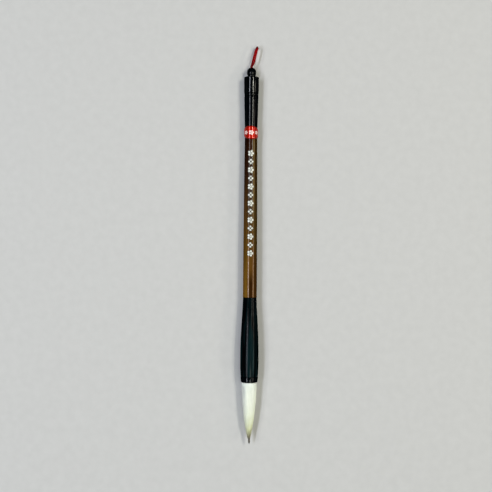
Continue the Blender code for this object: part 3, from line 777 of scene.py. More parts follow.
# %% [markdown]
# ## The bamboo barrel
#
# The culm is slightly thicker at its foot than at its tail, and it is cut between two nodes, so it
# has no rings. It is turned down to a tenon at both ends, 15 mm long in the sleeve and nearly 12 in
# the bell. Its outside is a long smooth curve, so the lathe makes it too, with a ring of points
# every three millimetres.

# %% Turn the barrel
CULM_FOOT, TAPER, CULM_BORE = 4.6, 100.0, 1.7
TENON_R, TENON, FOOT_TENON_R, FOOT_TENON = 3.15, 15, 3.16, 11.7


def culm(depth):
    """Radius of the bamboo at a depth below the joint with the sleeve, in mm."""
    return CULM_TAIL + (CULM_FOOT - CULM_TAIL) * ease(depth / TAPER)


length = JOINT - FERRULE_TOP
culm_outline = [(CULM_BORE, length + TENON), (TENON_R, length + TENON), (TENON_R, length)]
culm_outline += [(culm(d), length - d) for d in range(0, int(length), 3)]
culm_outline += [*arc(CULM_FOOT - 0.2, 0.3, 0.2, 0, -90, 4), (FOOT_TENON_R, 0.1)]
culm_outline += [(FOOT_TENON_R, -FOOT_TENON), (CULM_BORE, -FOOT_TENON)]
barrel_mesh = keep_skin("culm", turn(culm_outline, FERRULE_TOP))
print("culm", round(2 * culm(0), 2), "to", round(2 * culm(length), 2), "mm across")

# %% [markdown]
# ### Smoked, varnished bamboo
#
# The culm was smoked and stained before it was varnished, and the stain took unevenly. Its tail is
# nearly black on the left, brown at the crown and olive on the right. Towards its foot the left
# turns golden, the crown goes from honey to dark brown, and the right turns brown. So three colour
# runs along the culm are blended round it. Where one run ends and the next begins wanders with a
# noise that is drawn out along the fibres. Three slim paler strips run along it too, one at the
# tail and two towards the foot: painted highlights, laid along the lines that the lamps draw. Fibres
# are a fifth of a millimetre wide, too fine to show, so they are drawn at half a millimetre and
# forty times as long. The varnish is a thin clear coat, worn as the polish on the horn is.

# %% Finish: smoked bamboo, its stain
bamboo, tree, shader = new_finish(
    "smoked_varnished_bamboo", Roughness=0.6, Specular_IOR_Level=0.0, Coat_Roughness=0.13, Coat_IOR=1.5,
)
spot = add_node(tree, "ShaderNodeSeparateXYZ", {0: in_mm(tree)})
down = add_node(
    tree, "ShaderNodeMapRange",
    {"Value": spot.outputs["Y"], "From Min": JOINT, "From Max": FERRULE_TOP, "To Min": 0.0, "To Max": 1.0},
)
# Left, crown and right, each from the tail down to the foot.
RUNS = (
    ((0.05, "#180602"), (0.25, "#2A150A"), (0.5, "#4E3416"), (0.78, "#5E4212"), (0.95, "#6E4E18")),
    ((0.05, "#2C1506"), (0.35, "#35220E"), (0.6, "#503812"), (0.83, "#5C3E14"), (0.91, "#321C04")),
    ((0.05, "#2C1C02"), (0.45, "#3A2A0E"), (0.65, "#40300E"), (0.8, "#3E280A"), (1.0, "#40280C")),
)
left_run, crown_run, right_run = [
    add_node(tree, "ShaderNodeValToRGB", {"Fac": down}, stops=stops) for stops in RUNS
]
blotch = add_node(
    tree, "ShaderNodeTexNoise",
    {"Vector": in_mm(tree, (0.5, 0.03, 0.5)), "Scale": 1.0, "Detail": 3.0, "Roughness": 0.55},
)
wander = add_node(
    tree, "ShaderNodeMath", {0: blotch.outputs["Fac"], 1: 4.0, 2: spot.outputs["X"]},
    operation="MULTIPLY_ADD",
)
stain = left_run.outputs[0]
for next_run, low, high in ((crown_run, -0.2, 1.0), (right_run, 3.6, 4.4)):
    border = add_node(
        tree, "ShaderNodeMapRange", {"Value": wander, "From Min": low, "From Max": high},
        interpolation_type="SMOOTHSTEP",
    )
    stain = add_node(
        tree, "ShaderNodeMix", {"Factor": border, "A": stain, "B": next_run}, data_type="RGBA",
    ).outputs["Result"]
print("the stain is", len(RUNS), "runs of colour, blended round the culm")

# %% Finish: smoked bamboo, its painted highlight strips
# Each painted highlight strip: its middle and half width in mm, its colour, and the shares of the
# way down the culm where it starts to show and where it shows fully.
HIGHLIGHT_STRIPS = (
    (1.9, 0.6, "#6A542C", 0.65, 0.45),
    (-1.1, 0.45, "#8C6844", 0.6, 0.75),
    (2.1, 0.4, "#826040", 0.6, 0.75),
)
for middle, half, hue, low, high in HIGHLIGHT_STRIPS:
    apart = add_node(tree, "ShaderNodeMath", {0: spot.outputs["X"], 1: middle}, operation="SUBTRACT")
    apart = add_node(tree, "ShaderNodeMath", {0: apart}, operation="ABSOLUTE")
    on_highlight = add_node(
        tree, "ShaderNodeMapRange",
        {"Value": apart, "From Min": half * 0.5, "From Max": half * 1.3, "To Min": 0.85, "To Max": 0.0},
        interpolation_type="SMOOTHSTEP",
    )
    shown = add_node(tree, "ShaderNodeMapRange", {"Value": down, "From Min": low, "From Max": high})
    on_highlight = add_node(tree, "ShaderNodeMath", {0: on_highlight, 1: shown}, operation="MULTIPLY")
    stain = add_node(
        tree, "ShaderNodeMix", {"Factor": on_highlight, "A": stain, "B": paint(hue)}, data_type="RGBA",
    ).outputs["Result"]
print("the strips are", [2 * row[1] for row in HIGHLIGHT_STRIPS], "mm wide")

# %% Finish: smoked bamboo, its fibres and varnish
fibre = add_node(
    tree, "ShaderNodeTexNoise",
    {"Vector": in_mm(tree, (2.0, 0.05, 2.0)), "Scale": 1.0, "Detail": 4.0, "Roughness": 0.6},
)
grain = add_node(
    tree, "ShaderNodeMapRange",
    {"Value": fibre.outputs["Fac"], "From Min": 0.3, "From Max": 0.7, "To Min": 0.6, "To Max": 1.35},
)
wood = add_node(tree, "ShaderNodeVectorMath", {0: stain, "Scale": grain}, operation="SCALE")
ridge = add_node(
    tree, "ShaderNodeBump", {"Height": fibre.outputs["Fac"], "Strength": 0.3, "Distance": 0.03 * MM},
)
varnish = worn_gloss(tree, 0.4, (0.9, 0.1, 0.9))
feed(shader, Base_Color=wood, Coat_Weight=varnish, Normal=ridge, Coat_Normal=ridge)
new_piece("bamboo_barrel", barrel_mesh, bamboo, "bamboo", "brush", "barrel")

# %% [markdown]
# ## The engraved column
#
# A column of marks is cut into the crown of the barrel and filled with silver paint. Here they are
# blossoms with five petals and flowers with four, in turn, which mean nothing but an even rhythm.
# Each mark is a few small discs. They could be cut with a Boolean, but thin discs that stand at
# most a twentieth of a millimetre proud look the same and leave the culm a clean skin. The rule
# sets a motif on each point, in the flat, with the size and the kind that the point carries, and
# then wraps the whole column round the bamboo: the distance across becomes an angle. It is run
# twice: once a little larger, for the dark burnt edge of the cut, and once for the silver.

# %% Rule: marks wrapped round a stick, the motifs
marks, given, close = new_rule("wrapped_marks", "Petal Rim Thickness Lift Height")


def disc_ring(count, reach, size):
    """Discs set in a ring, as one motif."""
    grown = add_node(
        marks, "ShaderNodeMath", {0: given["Petal"], 1: size, 2: given["Rim"]}, operation="MULTIPLY_ADD",
    )
    disc = add_node(
        marks, "GeometryNodeMeshCylinder",
        {"Vertices": 14, "Side Segments": 1, "Fill Segments": 1, "Radius": grown,
         "Depth": given["Thickness"]},
        fill_type="TRIANGLE_FAN",
    )
    far = add_node(marks, "ShaderNodeMath", {0: given["Petal"], 1: reach}, operation="MULTIPLY")
    spots = add_node(marks, "GeometryNodeMeshCircle", {"Vertices": count, "Radius": far})
    return add_node(
        marks, "GeometryNodeInstanceOnPoints", {"Points": spots, "Instance": disc.outputs["Mesh"]},
    )


blossom = add_node(marks, "GeometryNodeJoinGeometry", {0: disc_ring(5, 1.42, 0.74)})
marks.links.new(disc_ring(3, 0.1, 0.42).outputs[0], blossom.inputs[0])
clover = add_node(marks, "GeometryNodeJoinGeometry", {0: disc_ring(4, 0.86, 0.5)})
# The motif that is linked last is number 0.
BLOSSOM, CLOVER = 0, 1
motifs = add_node(marks, "GeometryNodeGeometryToInstance", {0: clover})
marks.links.new(blossom.outputs[0], motifs.inputs[0])
print("the two motifs have", len(marks.nodes), "nodes")

# %% Rule: marks wrapped round a stick, their places
kind = add_node(marks, "GeometryNodeInputNamedAttribute", {"Name": "kind"}, data_type="INT")
size = add_node(marks, "GeometryNodeInputNamedAttribute", {"Name": "size"}, data_type="FLOAT")
column = add_node(
    marks, "GeometryNodeInstanceOnPoints",
    {"Points": given["Geometry"], "Instance": motifs, "Pick Instance": True,
     "Instance Index": kind.outputs["Attribute"], "Scale": size.outputs["Attribute"]},
)
real = add_node(marks, "GeometryNodeRealizeInstances", {"Geometry": column})
flat = add_node(marks, "ShaderNodeSeparateXYZ", {0: add_node(marks, "GeometryNodeInputPosition")})
under = add_node(marks, "GeometryNodeInputNamedAttribute", {"Name": "under"}, data_type="FLOAT")
under = under.outputs["Attribute"]
angle = add_node(marks, "ShaderNodeMath", {0: flat.outputs["X"], 1: under}, operation="DIVIDE")
raised = add_node(marks, "ShaderNodeMath", {0: flat.outputs["Z"], 1: given["Lift"]}, operation="ADD")
radius = add_node(marks, "ShaderNodeMath", {0: under, 1: raised}, operation="ADD")
place = round_axis(marks, angle, radius, flat.outputs["Y"], given["Height"])
real = add_node(marks, "GeometryNodeSetPosition", {"Geometry": real, "Position": place})
close(real)

# %% Set out the column
def mark_points(spots):
    """Points in the flat for the marks: (across, station, kind, size, radius under it) in mm."""
    points = path_mesh([Vector((x, y, 0)) * MM for x, y, *_ in spots])
    for name, kind, column in (("kind", "INT", 2), ("size", "FLOAT", 3), ("under", "FLOAT", 4)):
        row = points.attributes.new(name, kind, "POINT")
        for mark, spot in zip(row.data, spots):
            mark.value = spot[column] * MM if name == "under" else spot[column]
    return points


MARKS, FIRST_MARK, MARK_STEP = 13, 67.8, 5.5
column_spots = []
for k in range(MARKS):
    station = FIRST_MARK - k * MARK_STEP
    kind, size = ((BLOSSOM, 0.98), (CLOVER, 1.3))[k % 2]
    column_spots.append((0, station, kind, size, culm(JOINT - station) * ROUND))
print(MARKS, "marks from", FIRST_MARK, "to", round(station, 1), "mm")

# %% [markdown]
# Silver paint is metal flake in a clear binder. In a cut it is matt and a little uneven, so its
# colour wanders over half a millimetre and it is only a quarter metallic. The burnt edge is nearly
# black and as glossy as the varnish that ran into it.

# %% Finish: silver paint and burnt edge
silver = mottled(
    "silver_paint", (2.2, 2.2, 2.2), 4.0, ((0.3, "#A2A49A"), (0.5, "#D2D4CA"), (0.7, "#F0F0E6")),
    Roughness=0.45, Metallic=0.25,
)
burnt = mottled("burnt_edge", (3, 3, 3), 3.0, ((0.3, "#050302"), (0.7, "#1E120A")), Roughness=0.3)
print("finishes for the marks:", silver.name, "and", burnt.name)

# %% Make the column
PETAL = 1.0
for name, finish, rim, lift in (("burnt_cut", burnt, 0.2, -0.03), ("silver_fill", silver, 0.0, 0.0)):
    grow_piece(
        name, marks, finish, "bamboo", "brush", start=mark_points(column_spots),
        Petal=PETAL, Rim=rim, Thickness=0.1, Lift=lift,
    )

# %% [markdown]
# ## The label
#
# An oval of red foil paper under a thick lacquer hides the joint of bamboo and sleeve, and goes two
# thirds of the way round. The lacquer makes it stand half a millimetre proud, with a soft edge, and
# it was stuck on slightly askew. A grid bent round the stick would have a stepped rim, so it is
# made of rings instead: ovals from the middle outwards, bent round the stick, the last few
# dropping down to it.

# %% Form the label
LABEL_HALF, LABEL_TALL, OVAL, ASKEW = 9.3, 4.4, 1.7, math.radians(3.5)
PROUD, DROP, SOFT_EDGE, WRAP, SUNK = 0.5, 0.36, 0.86, 0.3, 0.05


def sleeve_radius(height):
    """Radius of the stick at a height above the joint, in mm."""
    if height < 0:
        return culm(-height)
    return CULM_TAIL + (SLEEVE_R - CULM_TAIL) * height / (SLEEVE_TOP - JOINT)


AROUND = 96
skin = bmesh.new()
flat_map = skin.loops.layers.uv.new("UVMap")
rings, where = [], {}
steps = [k / 20 for k in range(21)] + [1.0]
for number, share in enumerate(steps):
    ring = []
    for k in range(AROUND if share else 1):
        a = math.tau * k / AROUND
        u, v = [share * math.copysign(abs(w) ** (2 / OVAL), w) for w in (math.cos(a), math.sin(a))]
        width = u * LABEL_HALF * math.cos(ASKEW) + v * LABEL_TALL * math.sin(ASKEW)
        height = v * LABEL_TALL * math.cos(ASKEW) - u * LABEL_HALF * math.sin(ASKEW)
        edge = max((share - SOFT_EDGE) / (1 - SOFT_EDGE), 0)
        lift = PROUD - DROP * (1 - math.sqrt(max(1 - edge ** 2, 0)))
        radius = sleeve_radius(height) + (lift if number < len(steps) - 1 else -SUNK)
        spin = width / (sleeve_radius(height) + WRAP)
        x, z = math.sin(spin) * radius * ROUND, math.cos(spin) * radius * ROUND + AXIS
        corner = skin.verts.new(Vector((x, JOINT + height, z)) * MM)
        where[corner] = (share * math.cos(a), share * math.sin(a))
        ring.append(corner)
    rings.append(ring)
print("the label has", len(rings), "rings")

# %% Close the label
for inner, outer in zip(rings, rings[1:]):
    for k in range(AROUND):
        corners = [inner[k % len(inner)], outer[k], outer[(k + 1) % AROUND], inner[(k + 1) % len(inner)]]
        skin.faces.new(list(dict.fromkeys(corners)))
under = [skin.verts.new(corner.co) for corner in rings[-1]]
for a, b in zip(rings[-1], under):
    where[b] = where[a]
floor_ring = skin.faces.new(under)
bmesh.ops.triangulate(skin, faces=[floor_ring])
for face in skin.faces:
    for loop in face.loops:
        loop[flat_map].uv = where[loop.vert]
label_mesh = keep_skin("label", skin, 60)
print("label", 2 * LABEL_HALF, "by", 2 * LABEL_TALL, "mm")

# %% [markdown]
# ### Lacquered foil paper
#
# The paper is printed red over foil, so it shines a little like metal, and the lacquer over it is
# a clear coat with a shine of its own. The red wanders a little from one millimetre to the next,
# and it is darker towards the rim. How near a spot is to the rim is read from the label's own
# flat map.

# %% Finish: red label
red, tree, shader = new_finish(
    "lacquered_red_foil_paper", Metallic=0.4, Roughness=0.32, Specular_IOR_Level=0.0, Coat_Weight=0.5,
    Coat_Roughness=0.12, Coat_IOR=1.5,
)
chart = add_node(tree, "ShaderNodeUVMap", uv_map="UVMap")
reach = add_node(tree, "ShaderNodeVectorMath", {0: chart}, operation="LENGTH").outputs["Value"]
mottle = add_node(
    tree, "ShaderNodeTexNoise", {"Vector": in_mm(tree, (1.2, 1.2, 1.2)), "Scale": 1.0, "Detail": 4.0},
)
ground = add_node(
    tree, "ShaderNodeValToRGB", {"Fac": mottle.outputs["Fac"]}, stops=((0.3, "#9E0A02"), (0.7, "#BA220C")),
)
# Darker towards the rim.
rim = add_node(
    tree, "ShaderNodeMapRange",
    {"Value": reach, "From Min": 0.78, "From Max": 0.98, "To Min": 1.0, "To Max": 0.55},
)
tone = add_node(tree, "ShaderNodeVectorMath", {0: ground, "Scale": rim}, operation="SCALE")
feed(shader, Base_Color=tone)
new_piece("red_label", label_mesh, red, "label", "brush", "label")

# %% [markdown]
# A row of three small printed blossoms crosses the label, the middle one larger. The rule that
# wrapped the column wraps them too, on the radius of the label's lacquer. The red shows through
# the white ink where it is thin.

# %% Print the label
ink = mottled("white_label_ink", (3, 3, 3), 3.0, ((0.3, "#F2B8AC"), (0.6, "#FFF4F0")), Roughness=0.3)
coat_radius = (sleeve_radius(0) + PROUD) * ROUND
row_spots = [(x, JOINT, BLOSSOM, size, coat_radius) for x, size in ((-3.7, 0.6), (0.2, 0.8), (4.1, 0.6))]
grow_piece(
    "label_print", marks, ink, "label", "brush", start=mark_points(row_spots),
    Petal=PETAL, Rim=0.0, Thickness=0.08, Lift=0.0,
)

# %% [markdown]
# ## The hair
#
# The tuft has three layers. The soft white outer hair draws in slowly at first and then faster. A
# shorter layer pads its belly. A stiff dark core runs the whole length and makes the point. From
# above it is a body of hair, with single hairs showing only on its surface and where they end. So
# it is made of both: a solid body with fine grooves, and a coat of real hairs.

# %% Shape of the tuft
HAIR_LENGTH = MOUTH - HAIR_TIP
HAIR_R, ROOT_R = 4.95, 4.16
HAIR_SIDES, WAVES = 192, 4


def tuft(share):
    """How much of its radius the tuft keeps at a share of the way to its tip."""
    return max(1 - share ** 2, 0)


def hair_body(profile, shares, grooves, depth, seed):
    """A closed body of hair whose radius is cut by fine grooves that run along it."""
    chance = random.Random(seed)
    waves = [(chance.randint(*grooves), chance.uniform(0, math.tau)) for _ in range(WAVES)]
    skin = turn([(profile(s), -s * HAIR_LENGTH) for s in shares], MOUTH, HAIR_SIDES)
    centre = Vector((0, 0, AXIS * MM))
    for corner in skin.verts:
        out_from = Vector((corner.co.x, 0, corner.co.z)) - centre
        a = math.atan2(out_from.x, out_from.z)
        cut = sum(math.sin(n * a + shift) for n, shift in waves) * depth * MM / WAVES
        if out_from.length > 0.2 * MM:
            corner.co += out_from.normalized() * cut
    return skin


print("tuft", round(HAIR_LENGTH, 1), "mm long,", 2 * HAIR_R, "mm across")

# %% [markdown]
# ### Goat hair and weasel hair
#
# Clean goat hair is white with a cast of green, and yellows where it has been dipped and dried, so
# the colour goes from white at the mouth to straw and olive near the end. The core is weasel hair,
# dun at its root and dark grey at its tip. Each hair is a tenth of a millimetre or less, so the
# streaks are drawn at a third of a millimetre, and they follow the tuft.

# %% Finish: hair
def hair_finish(name, stops, low, high):
    """Hair coloured by how far it is from the mouth, with streaks that follow the tuft."""
    finish, tree, shader = new_finish(
        name, Roughness=0.6, Specular_IOR_Level=0.2, Sheen_Weight=0.35, Sheen_Roughness=0.6,
    )
    spot = add_node(tree, "ShaderNodeSeparateXYZ", {0: in_mm(tree)})
    share = add_node(
        tree, "ShaderNodeMapRange", {"Value": spot.outputs["Y"], "From Min": MOUTH, "From Max": HAIR_TIP},
    )
    streak = add_node(
        tree, "ShaderNodeTexNoise",
        {"Vector": in_mm(tree, (3.0, 0.08, 3.0)), "Scale": 1.0, "Detail": 3.0, "Roughness": 0.6},
    )
    drift = add_node(tree, "ShaderNodeMath", {0: streak.outputs["Fac"], 1: 0.5}, operation="SUBTRACT")
    moved = add_node(tree, "ShaderNodeMath", {0: drift, 1: 0.12, 2: share}, operation="MULTIPLY_ADD")
    tone = add_node(tree, "ShaderNodeValToRGB", {"Fac": moved}, stops=stops)
    light = add_node(
        tree, "ShaderNodeMapRange",
        {"Value": streak.outputs["Fac"], "From Min": 0.3, "From Max": 0.7, "To Min": low, "To Max": high},
    )
    both = add_node(tree, "ShaderNodeVectorMath", {0: tone, "Scale": light}, operation="SCALE")
    feed(shader, Base_Color=both)
    print(name, "has", len(tree.nodes), "nodes")
    return finish


goat = hair_finish(
    "goat_hair",
    ((0.0, "#F2F8F0"), (0.35, "#F4F9EC"), (0.5, "#F5FAE9"), (0.65, "#F2F7DC"), (0.73, "#EAEECA"),
     (0.78, "#DCDFB6"), (0.84, "#C4C49C"), (0.89, "#9C987A"), (0.96, "#66604F")),
    0.92, 1.04,
)
weasel = hair_finish(
    "weasel_hair", ((0.5, "#A89E78"), (0.8, "#8A8468"), (0.9, "#68645A"), (1.0, "#48443A")), 0.75, 1.2,
)

# %% [markdown]
# ### The coat of hairs
#
# Each hair is a thin tapered straw with three sides. The rule scatters points round the mouth, puts
# a straight line on each, and then moves every point of every line to where a hair would be: at its
# own angle, between its own start and end, on the surface that the tuft's shape gives. The hairs
# part from the body a little towards their ends, and each wanders sideways by its own small amount.
# Blender's own hair would look the same here, but only a mesh can be passed on.

# %% Rule: coat of hairs, their chances
coat, given, close = new_rule(
    "coat_of_hairs", "Length Radius Root Thickness Lift Station Height",
    "Fullness Point Begin End Scatter Wander", "Count Seed",
)
spots = add_node(coat, "GeometryNodeMeshLine", {"Count": given["Count"]})
spots = add_node(coat, "GeometryNodeMeshToPoints", {"Mesh": spots})
DRAWS = (
    ("turned", 0.0, math.tau), ("early", -1.0, 1.0), ("late", -1.0, 1.0), ("sway", -1.0, 1.0),
    ("rise", 0.0, 1.0),
)
chances = {}
for number, (label, low, high) in enumerate(DRAWS):
    seed = add_node(coat, "ShaderNodeMath", {0: given["Seed"], 1: float(number)}, operation="ADD")
    chance = add_node(
        coat, "FunctionNodeRandomValue", {2: low, 3: high, "Seed": seed}, data_type="FLOAT",
    )
    spots = add_node(
        coat, "GeometryNodeStoreNamedAttribute",
        {"Geometry": spots, "Name": label, "Value": chance.outputs[1]}, data_type="FLOAT", domain="POINT",
    )
    read = add_node(coat, "GeometryNodeInputNamedAttribute", {"Name": label}, data_type="FLOAT")
    chances[label] = read.outputs["Attribute"]
print("each hair draws", len(DRAWS), "chances")

# %% Rule: coat of hairs, where each point lies
straight = add_node(coat, "GeometryNodeCurvePrimitiveLine", {"End": (0.0, 1.0, 0.0)})
straight = add_node(coat, "GeometryNodeResampleCurve", {"Curve": straight, "Count": 9})
hairs = add_node(coat, "GeometryNodeInstanceOnPoints", {"Points": spots, "Instance": straight})
hairs = add_node(coat, "GeometryNodeRealizeInstances", {"Geometry": hairs})
part = add_node(coat, "GeometryNodeSplineParameter").outputs["Factor"]
begin, end = [
    add_node(
        coat, "ShaderNodeMath", {0: chances[chance], 1: given["Scatter"], 2: given[middle]},
        operation="MULTIPLY_ADD",
    ) for chance, middle in (("early", "Begin"), ("late", "End"))
]
run = add_node(coat, "ShaderNodeMath", {0: end, 1: begin}, operation="SUBTRACT")
share = add_node(coat, "ShaderNodeMath", {0: run, 1: part, 2: begin}, operation="MULTIPLY_ADD")
share = add_node(coat, "ShaderNodeClamp", {0: share, 1: 0.0, 2: 0.995})
gone = add_node(coat, "ShaderNodeMath", {0: share, 1: given["Fullness"]}, operation="POWER")
left = add_node(coat, "ShaderNodeMath", {0: 1.0, 1: gone}, operation="SUBTRACT")
full = add_node(coat, "ShaderNodeMath", {0: left, 1: given["Point"]}, operation="POWER")
reach = add_node(coat, "ShaderNodeMath", {0: full, 1: given["Radius"]}, operation="MULTIPLY")
# The hair has swollen from its root to its full width by a fortieth of the way.
start = add_node(coat, "ShaderNodeMath", {0: share, 1: 58.0}, operation="MULTIPLY")
start = add_node(coat, "ShaderNodeMath", {0: start, 1: math.pi / 2}, operation="MINIMUM")
start = add_node(coat, "ShaderNodeMath", {0: start}, operation="SINE")
beyond = add_node(coat, "ShaderNodeMath", {0: reach, 1: given["Root"]}, operation="SUBTRACT")
reach = add_node(coat, "ShaderNodeMath", {0: beyond, 1: start, 2: given["Root"]}, operation="MULTIPLY_ADD")
loose = add_node(coat, "ShaderNodeMath", {0: chances["rise"], 1: given["Lift"]}, operation="MULTIPLY")
loose = add_node(coat, "ShaderNodeMath", {0: loose, 1: part}, operation="MULTIPLY")
reach = add_node(coat, "ShaderNodeMath", {0: reach, 1: loose}, operation="ADD")
sway = add_node(coat, "ShaderNodeMath", {0: chances["sway"], 1: given["Wander"]}, operation="MULTIPLY")
angle = add_node(coat, "ShaderNodeMath", {0: sway, 1: part, 2: chances["turned"]}, operation="MULTIPLY_ADD")
down = add_node(coat, "ShaderNodeMath", {0: share, 1: given["Length"]}, operation="MULTIPLY")
along = add_node(coat, "ShaderNodeMath", {0: given["Station"], 1: down}, operation="SUBTRACT")
place = round_axis(coat, angle, reach, along, given["Height"])
hairs = add_node(coat, "GeometryNodeSetPosition", {"Geometry": hairs, "Position": place})
print("the places of the hairs take", len(coat.nodes), "nodes")

# %% Rule: coat of hairs, their thickness
thin = add_node(coat, "ShaderNodeMapRange", {"Value": part, "To Min": 1.0, "To Max": 0.25})
straw = add_node(coat, "GeometryNodeCurvePrimitiveCircle", {"Resolution": 3, "Radius": given["Thickness"]})
hairs = add_node(
    coat, "GeometryNodeCurveToMesh",
    {"Curve": hairs, "Profile Curve": straw, "Scale": thin, "Fill Caps": True},
)
hairs = add_node(coat, "GeometryNodeSetShadeSmooth", {"Geometry": hairs})
close(hairs)

# %% [markdown]
# ### The white hair
#
# The white hair is a solid body with fine grooves, and 1500 single hairs over it. The body stops
# where the dark core comes clear, a few hairs run on past it, and the lip grips it all tightly, so
# it swells to its full width in its first millimetre.

# %% Make the white hair
ROOT_DEPTH, SWELL = 16, 1.1


def mantle(share):
    """Outside radius of the white hair: it leaves the lip and swells to its full size."""
    return ROOT_R + (HAIR_R * tuft(share) - ROOT_R) * ease(share * HAIR_LENGTH / SWELL)


REACH = 0.87
first = [0, 0.007, 0.014, 0.02, 0.027]
later = [first[-1] + (REACH - first[-1]) * k / 40 for k in range(1, 41)]
shares = [-ROOT_DEPTH / HAIR_LENGTH, *first, *later]
body = hair_body(lambda s: mantle(max(s, 0)) - 0.06, [*shares, REACH + 0.01], (18, 60), 0.07, 3)
mantle_mesh = keep_skin("mantle", body, 80)
new_piece("white_hair_body", mantle_mesh, goat, "white_hair", "brush", "mantle_hair")
grow_piece(
    "white_hair_coat", coat, goat, "white_hair", "brush", Count=1500, Length=HAIR_LENGTH,
    Radius=(HAIR_R - 0.04) * ROUND, Root=(ROOT_R + 0.1) * ROUND, Fullness=2.0, Point=1.0, Begin=0.1,
    End=0.84, Scatter=0.08, Thickness=0.07, Lift=0.12, Wander=0.12, Station=MOUTH, Seed=4,
)

# %% [markdown]
# ### The dark point
#
# The core is a stiff thin rod of hairs whose last few millimetres stand clear of the white ones.
# Hairs that have been wetted once stick together there, so the rod stays nearly parallel, ends in
# a blunt nose and leans a fifth of a millimetre to one side. The rule of the coat runs twice over
# it, for the hairs along its side and for the ones that make its nose, and both are one piece.

# %% Make the dark point
ROD_R, ROD_MORE, ROD_FROM, BLUNT = 0.68, 0.88, 0.88, 0.035
LEAN, LEAN_FROM, LEAN_OVER = 0.2, 0.86, 0.08


def core(share):
    """Radius of the dark core: full for long, then one slim rod with a blunt nose."""
    fullness = max(1 - (max(share, 0) / ROD_FROM) ** 4, 0)
    return max((ROD_R + ROD_MORE * fullness) * ease((1 - share) / BLUNT), 0.05) - 0.02


def bend_tip(mesh):
    """Bend the last stretch of the tuft a little to the right."""
    for corner in mesh.vertices:
        share = (MOUTH - corner.co.y / MM) / HAIR_LENGTH
        corner.co.x += LEAN * MM * ease((share - LEAN_FROM) / LEAN_OVER)
    return mesh


nose = [0.95, 0.96, 0.97, 0.98, 0.988, 0.994, 0.998]
shares = [-ROOT_DEPTH / HAIR_LENGTH, *[k / 40 for k in range(38)], *nose]
body = hair_body(core, shares, (9, 24), 0.08, 8)
core_mesh = keep_skin("core", body, 80)
new_piece("dark_hair_body", bend_tip(core_mesh), weasel, "dark_hair", "brush", "core_hair")

# %% Dress the dark point
point_mesh = run_rule(
    "point", coat, Count=160, Length=HAIR_LENGTH, Radius=1.2 * ROUND, Root=1.2 * ROUND, Fullness=6.0,
    Point=0.7, Begin=0.6, End=0.95, Scatter=0.05, Thickness=0.06, Lift=0.05, Wander=0.2,
    Station=MOUTH, Seed=9, Finish=weasel,
)
nose_mesh = run_rule(
    "nose", coat, Count=70, Length=HAIR_LENGTH + 0.6, Radius=0.7 * ROUND, Root=0.7 * ROUND,
    Fullness=30.0, Point=0.8, Begin=0.78, End=0.985, Scatter=0.012, Thickness=0.07, Lift=0.04,
    Wander=0.3, Station=MOUTH, Seed=10, Finish=weasel,
)
joined = bmesh.new()
joined.from_mesh(point_mesh)
joined.from_mesh(nose_mesh)
joined.to_mesh(point_mesh)
joined.free()
new_piece("dark_hair_coat", bend_tip(point_mesh), weasel, "dark_hair", "brush")

# %% [markdown]
# ## What is hidden in the bell
#
# Behind the lip the root of the tuft is bound with three turns of linen thread, dipped in rosin.
# Nobody sees them in a finished brush, but they are there when the bell is taken off. The turns are
# a spiral with a round outline swept along it. Waxed linen is dull, and its colour changes with
# its plies, which are a tenth to a quarter of a millimetre wide. Rosin is brown and glassy, with
# clouds a millimetre or two across. The cake of rosin and the padding keep their CAD shape.

# %% Rule: binding
binding, given, close = new_rule("binding", "Radius Width Thickness Station Height", "Turns")
spiral = add_node(
    binding, "GeometryNodeCurveSpiral",
    {"Resolution": 48, "Rotations": given["Turns"], "Start Radius": given["Radius"],
     "End Radius": given["Radius"], "Height": given["Width"]},
)
seat = add_node(binding, "ShaderNodeCombineXYZ", {1: given["Station"], 2: given["Height"]})
spiral = add_node(
    binding, "GeometryNodeTransform",
    {"Geometry": spiral, "Translation": seat, "Rotation": (-math.pi / 2, 0.0, 0.0)},
)
strand = add_node(
    binding, "GeometryNodeCurvePrimitiveCircle", {"Resolution": 10, "Radius": given["Thickness"]},
)
spiral = add_node(
    binding, "GeometryNodeCurveToMesh", {"Curve": spiral, "Profile Curve": strand, "Fill Caps": True},
)
spiral = add_node(binding, "GeometryNodeSetShadeSmooth", {"Geometry": spiral})
close(spiral)

# %% Bind the root
linen = mottled(
    "waxed_linen_thread", (4, 9, 4), 2.0, ((0.35, "#7C6A4C"), (0.65, "#CDBD98")), Roughness=0.7,
)
thread_low, thread_high, thread_radius = span("root_thread")
grow_piece(
    "root_binding", binding, linen, "thread", "brush", "root_thread", Turns=2.9,
    Radius=thread_radius - 0.32, Width=thread_high - thread_low - 0.66, Thickness=0.31,
    Station=thread_low + 0.33,
)

# %% Dress the nodes that stay
rosin = mottled(
    "pine_rosin", (0.7, 0.7, 0.7), 4.0, ((0.3, "#6A3A10"), (0.7, "#C98A3C")), Roughness=0.25, IOR=1.53,
)
for node, finish in (("root_resin", rosin), ("padding_hair", goat)):
    for seat in frame["nodes"][node].material_slots:
        seat.material = finish
    print(node, "is dressed in", finish.name)

# %% [markdown]
# ## Floor and light
#
# The brush rests on its bell and on its head, which is slimmer, so the floor is tipped by a third of
# a degree to meet both. It is a round pale table top without gloss, with a faint mottling five
# millimetres across. It is wide enough to fill the view from above, and a low view sees its far
# edge as one clean curve.

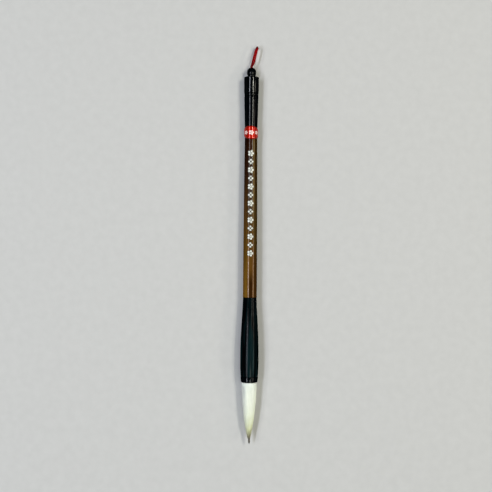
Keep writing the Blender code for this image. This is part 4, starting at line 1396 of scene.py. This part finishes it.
# %% Lay the floor
# Where the brush touches it, at the band and near the shoulder: station and height in mm.
touch_bell = (FERRULE_LOW + TUCK + BAND / 2, 0.0)
touch_head = (SHOULDER - 2, AXIS - HEAD_R * ROUND)
slope = (touch_head[1] - touch_bell[1]) / (touch_head[0] - touch_bell[0])
TABLE, EDGE_STEPS = 700, 128
rim = []
for k in range(EDGE_STEPS):
    a = math.tau * k / EDGE_STEPS
    x, y = TABLE * math.cos(a), TABLE * math.sin(a)
    rim.append(Vector((x, y, (y - touch_bell[0]) * slope - 0.01)) * MM)
floor_mesh = bpy.data.meshes.new("floor")
floor_mesh.from_pydata([tuple(corner) for corner in rim], [], [range(EDGE_STEPS)])
floor = bpy.data.objects.new("floor", floor_mesh)
scene.collection.objects.link(floor)
pale = mottled("pale_floor", (0.2, 0.2, 0.2), 5.0, ((0.3, "#C1C1C0"), (0.7, "#C5C5C4")), Roughness=0.9)
floor_mesh.materials.append(pale)
print("floor slope", round(math.degrees(math.atan(slope)), 2), "degrees")

# %% [markdown]
# Long soft strips hang over the brush: a cool one to the left, and to the right a warm one over the
# tail and a lower, fainter one. A small lamp hangs beyond the hair. On black horn each draws one
# thin line, and how far it is from the middle says how far over the lamp stands. Two fills, one a
# side, light the flanks of the hair. They are left out of reflections, so they draw no line. The
# room is nearly dark for everything but the camera, which sees it pale, so nearly all the light
# comes from the lamps and a low view still has a pale wall behind the table.

# %% Hang the lights
def strip(name, over, far, ahead, turned, size, power, colour):
    """A soft lamp: its angle from straight up, its metres away and ahead, and its turn in plan."""
    lamp = bpy.data.lights.new(name, "AREA")
    lamp.shape = "RECTANGLE"
    lamp.size, lamp.size_y = size
    lamp.energy = power
    lamp.color = paint(colour)[:3]
    holder = bpy.data.objects.new(name, lamp)
    a = math.radians(over)
    holder.location = (far * math.sin(a), ahead, far * math.cos(a))
    holder.rotation_euler = (0, a, -math.radians(turned))
    scene.collection.objects.link(holder)
    print(name, "hangs", over, "degrees over, at", power, "W")
    return holder


strip("cool_strip", -29, 1.5, -0.05, 13, (0.12, 1.3), 12.3, "#EEF2FF")
strip("warm_strip", 27.4, 1.55, 0.36, 12, (0.05, 0.52), 7.5, "#FFFDEF")
strip("low_strip", 56, 1.55, 0.0, 30, (0.1, 1.1), 3.5, "#FFF6E4")
strip("end_lamp", 15, 1.5, -0.57, 0, (0.16, 0.3), 3.2, "#F6FCF2")
for name, over, colour in (("left_fill", -40, "#F4F8F4"), ("right_fill", 34, "#FBFAF0")):
    fill = strip(name, over, 1.5, 0.0, 0, (0.2, 1.2), 5.2, colour)
    fill.visible_glossy = False

# %% Paint the room
room = bpy.data.worlds.new("room")
room.use_nodes = True
air = room.node_tree.nodes["Background"]
air.inputs["Color"].default_value = (1, 1, 1, 1)
looked_at = add_node(room.node_tree, "ShaderNodeLightPath").outputs["Is Camera Ray"]
glow = add_node(room.node_tree, "ShaderNodeMapRange", {"Value": looked_at, "To Min": 0.015, "To Max": 0.58})
room.node_tree.links.new(glow.outputs[0], air.inputs["Strength"])
scene.world = room
scene.view_settings.view_transform = "Standard"
print("the room is", room.name, "with", len(bpy.data.lights), "lamps")
